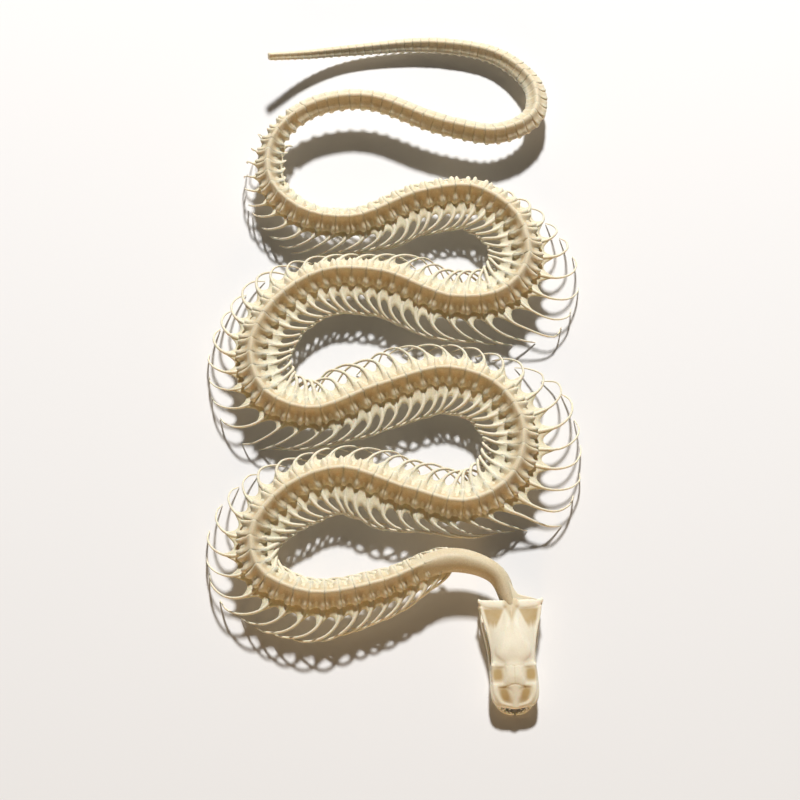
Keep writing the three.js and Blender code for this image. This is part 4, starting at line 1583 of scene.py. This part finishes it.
    def _teeth(
        self, name: str, line: tuple, count: int, root: float, length: float, up: int,
    ) -> bpy.types.Object:
        """Sets a row of curved teeth along both jaws.

        Args:
            name: The piece's name.
            line: The row, as x and forward.
            count: Teeth on each side.
            root: Height of the roots.
            length: Length of the longest tooth.
            up: 1 for teeth that point up, -1 for teeth that point down.

        Returns:
            The piece.
        """
        course = smooth_line(np.array([(x, f, root) for x, f in line]), 8)
        run = np.r_[0, np.cumsum(np.linalg.norm(np.diff(course, axis=0), axis=1))]
        spots = np.linspace(0.03, 0.97, count) * run[-1]
        place = np.stack([np.interp(spots, run, course[:, k]) for k in range(3)], axis=1)
        slope = np.stack([np.interp(spots + 0.3, run, course[:, k]) for k in range(3)], axis=1) - place
        points, turns, grows = [], [], []
        for mirror in (1.0, -1.0):
            for k, (spot, run_on) in enumerate(zip(place, slope)):
                ahead = self.seat.world(np.array([[0, 0, 0], [run_on[0] * mirror, run_on[1], 0]]))
                heading = math.atan2(ahead[1, 1] - ahead[0, 1], ahead[1, 0] - ahead[0, 0]) - math.pi / 2
                size = length * (0.72 + 0.28 * math.sin(math.pi * (k + 1) / count))
                points.append(self.seat.world(spot * (mirror, 1, 1)))
                turns.append((0 if up > 0 else math.pi, 0, heading if up > 0 else heading + math.pi))
                grows.append((size, size, size))
        tooth = self._tooth()
        obj = make_mesh(name, np.array(points), [])
        put_attribute(obj, "turn", np.array(turns))
        put_attribute(obj, "grow", np.array(grows))
        self.tooth_tree.run(obj, {"Bone": tooth, "Lean": 0.12, "Seed": 5 + up, "Material": self.enamel})
        discard(tooth)
        return obj

    def _tooth(self) -> bpy.types.Object:
        """Makes a tooth 1 mm long that points up and leans back.

        Returns:
            The helper object.
        """
        turn = np.linspace(0, 2 * math.pi, 7, endpoint=False)
        rings = []
        for height, radius in ((-0.15, 0.19), (0.15, 0.2), (0.45, 0.16), (0.75, 0.1), (1.0, 0.02)):
            back = -0.42 * max(height, 0) ** 1.7
            rings.append(np.stack(
                [np.cos(turn) * radius, back + np.sin(turn) * radius, np.full(7, height)], axis=1,
            ))
        shells = ShellList()
        shells.add_rings(np.array(rings))
        return shells.build("tooth")


# ------------------------------------------------------------------ floor, light and camera


@dataclass(frozen=True)
class AreaLamp:
    """A soft square lamp that looks at the middle of the skeleton."""

    name: str
    bearing: float
    elevation: float
    distance: float
    size: float
    power: float
    color: tuple[float, float, float]

    def place(self, target: np.ndarray) -> None:
        """Adds the lamp.

        Args:
            target: The point it looks at, in metres.
        """
        data = bpy.data.lights.new(self.name, "AREA")
        data.size = self.size
        data.energy = self.power
        data.color = self.color
        lamp = bpy.data.objects.new(self.name, data)
        low, turn = math.radians(self.elevation), math.radians(self.bearing)
        away = np.array([math.sin(turn) * math.cos(low), math.cos(turn) * math.cos(low), math.sin(low)])
        lamp.location = target + away * self.distance
        lamp.rotation_euler = (math.pi / 2 - low, 0, math.pi - turn)
        bpy.context.scene.collection.objects.link(lamp)


@dataclass(frozen=True)
class Studio:
    """A pale floor, a high lamp behind the skeleton, a warm low fill in front and the camera."""

    target: tuple[float, float, float] = (-MIDDLE[0] * MM, -MIDDLE[1] * MM, 0.0)
    elevation: float = 66.0
    distance: float = 0.9
    lens: float = 90.0
    lamps: tuple[AreaLamp, ...] = (
        AreaLamp(
            "key", bearing=4.0, elevation=44.0, distance=3.0, size=0.28, power=132.0,
            color=(0.98, 0.985, 0.97),
        ),
        AreaLamp(
            "fill", bearing=182.0, elevation=12.0, distance=2.5, size=0.8, power=23.0,
            color=(1.0, 0.66, 0.30),
        ),
    )
    sky: tuple[float, float, float] = (1.0, 0.86, 0.7)
    sky_strength: float = 0.06

    def build(self) -> None:
        """Adds the floor, the lamps, the sky light and the camera."""
        half = 3000.0
        corners = np.array([
            (x, y, -FLOOR_DROP) for x, y in ((-half, -half), (half, -half), (half, half), (-half, half))
        ])
        floor = make_mesh("floor", corners, [[0, 1, 2, 3]])
        floor.data.materials.append(PaperFinish().material())
        for lamp in self.lamps:
            lamp.place(np.array(self.target))
        world = bpy.data.worlds.new("pale_room")
        world.use_nodes = True
        world.node_tree.nodes["Background"].inputs["Color"].default_value = (*self.sky, 1)
        world.node_tree.nodes["Background"].inputs["Strength"].default_value = self.sky_strength
        scene = bpy.context.scene
        scene.world = world
        scene.view_settings.view_transform = "Standard"
        self._camera(scene)

    def _camera(self, scene: bpy.types.Scene) -> None:
        """Adds the camera and makes it the scene's own.

        Args:
            scene: The scene.
        """
        data = bpy.data.cameras.new("camera")
        data.lens = self.lens
        data.sensor_width = 36
        data.sensor_fit = "HORIZONTAL"
        data.clip_start = 0.05
        camera = bpy.data.objects.new("camera", data)
        tilt = math.radians(self.elevation)
        away = np.array([0, -math.cos(tilt), math.sin(tilt)])
        camera.location = np.array(self.target) + away * self.distance
        camera.rotation_euler = (math.pi / 2 - tilt, 0, 0)
        scene.collection.objects.link(camera)
        scene.camera = camera


def main() -> None:
    """Builds the skeleton part by part, then the studio."""
    logging.basicConfig(level=logging.INFO, format="%(message)s")
    weathering = weathering_group()
    bone = BoneFinish(
        "dry_bone", pale=(0.84, 0.79, 0.63), tan=(0.56, 0.40, 0.20), dark=(0.34, 0.23, 0.10),
    ).material(weathering)
    tissue = BoneFinish(
        "dried_tissue", pale=(0.80, 0.73, 0.55), tan=(0.50, 0.35, 0.17), dark=(0.28, 0.19, 0.09),
    ).material(weathering)
    roof = BoneFinish(
        "skull_bone", pale=(0.90, 0.84, 0.69), tan=(0.52, 0.37, 0.17), dark=(0.36, 0.25, 0.12),
        bump=0.12, blotch_scale=200, blotch_share=0.12, grime=0.08,
    ).material(weathering)
    sheet = BoneFinish(
        "skull_tissue", pale=(0.86, 0.79, 0.62), tan=(0.50, 0.35, 0.15), dark=(0.30, 0.20, 0.09),
        bump=0.12, blotch_scale=200, grime=0.1,
    ).material(weathering)
    enamel = BoneFinish(
        "tooth", pale=(0.88, 0.84, 0.72), tan=(0.7, 0.6, 0.42), dark=(0.5, 0.4, 0.25),
        roughness=0.3, bump=0.05,
    ).material(weathering)
    crest = CrestLine()
    backbone = Backbone(crest, bone, tissue)
    pieces = backbone.build()
    pieces += RibCage(crest, bone, tissue).build()
    pieces += Skull(crest, roof, sheet, enamel, backbone.row_tree).build()
    for piece in pieces:
        LOG.info("%s: %d faces", piece.name, len(piece.data.polygons))
    Studio().build()


if __name__ == "__main__":
    main()
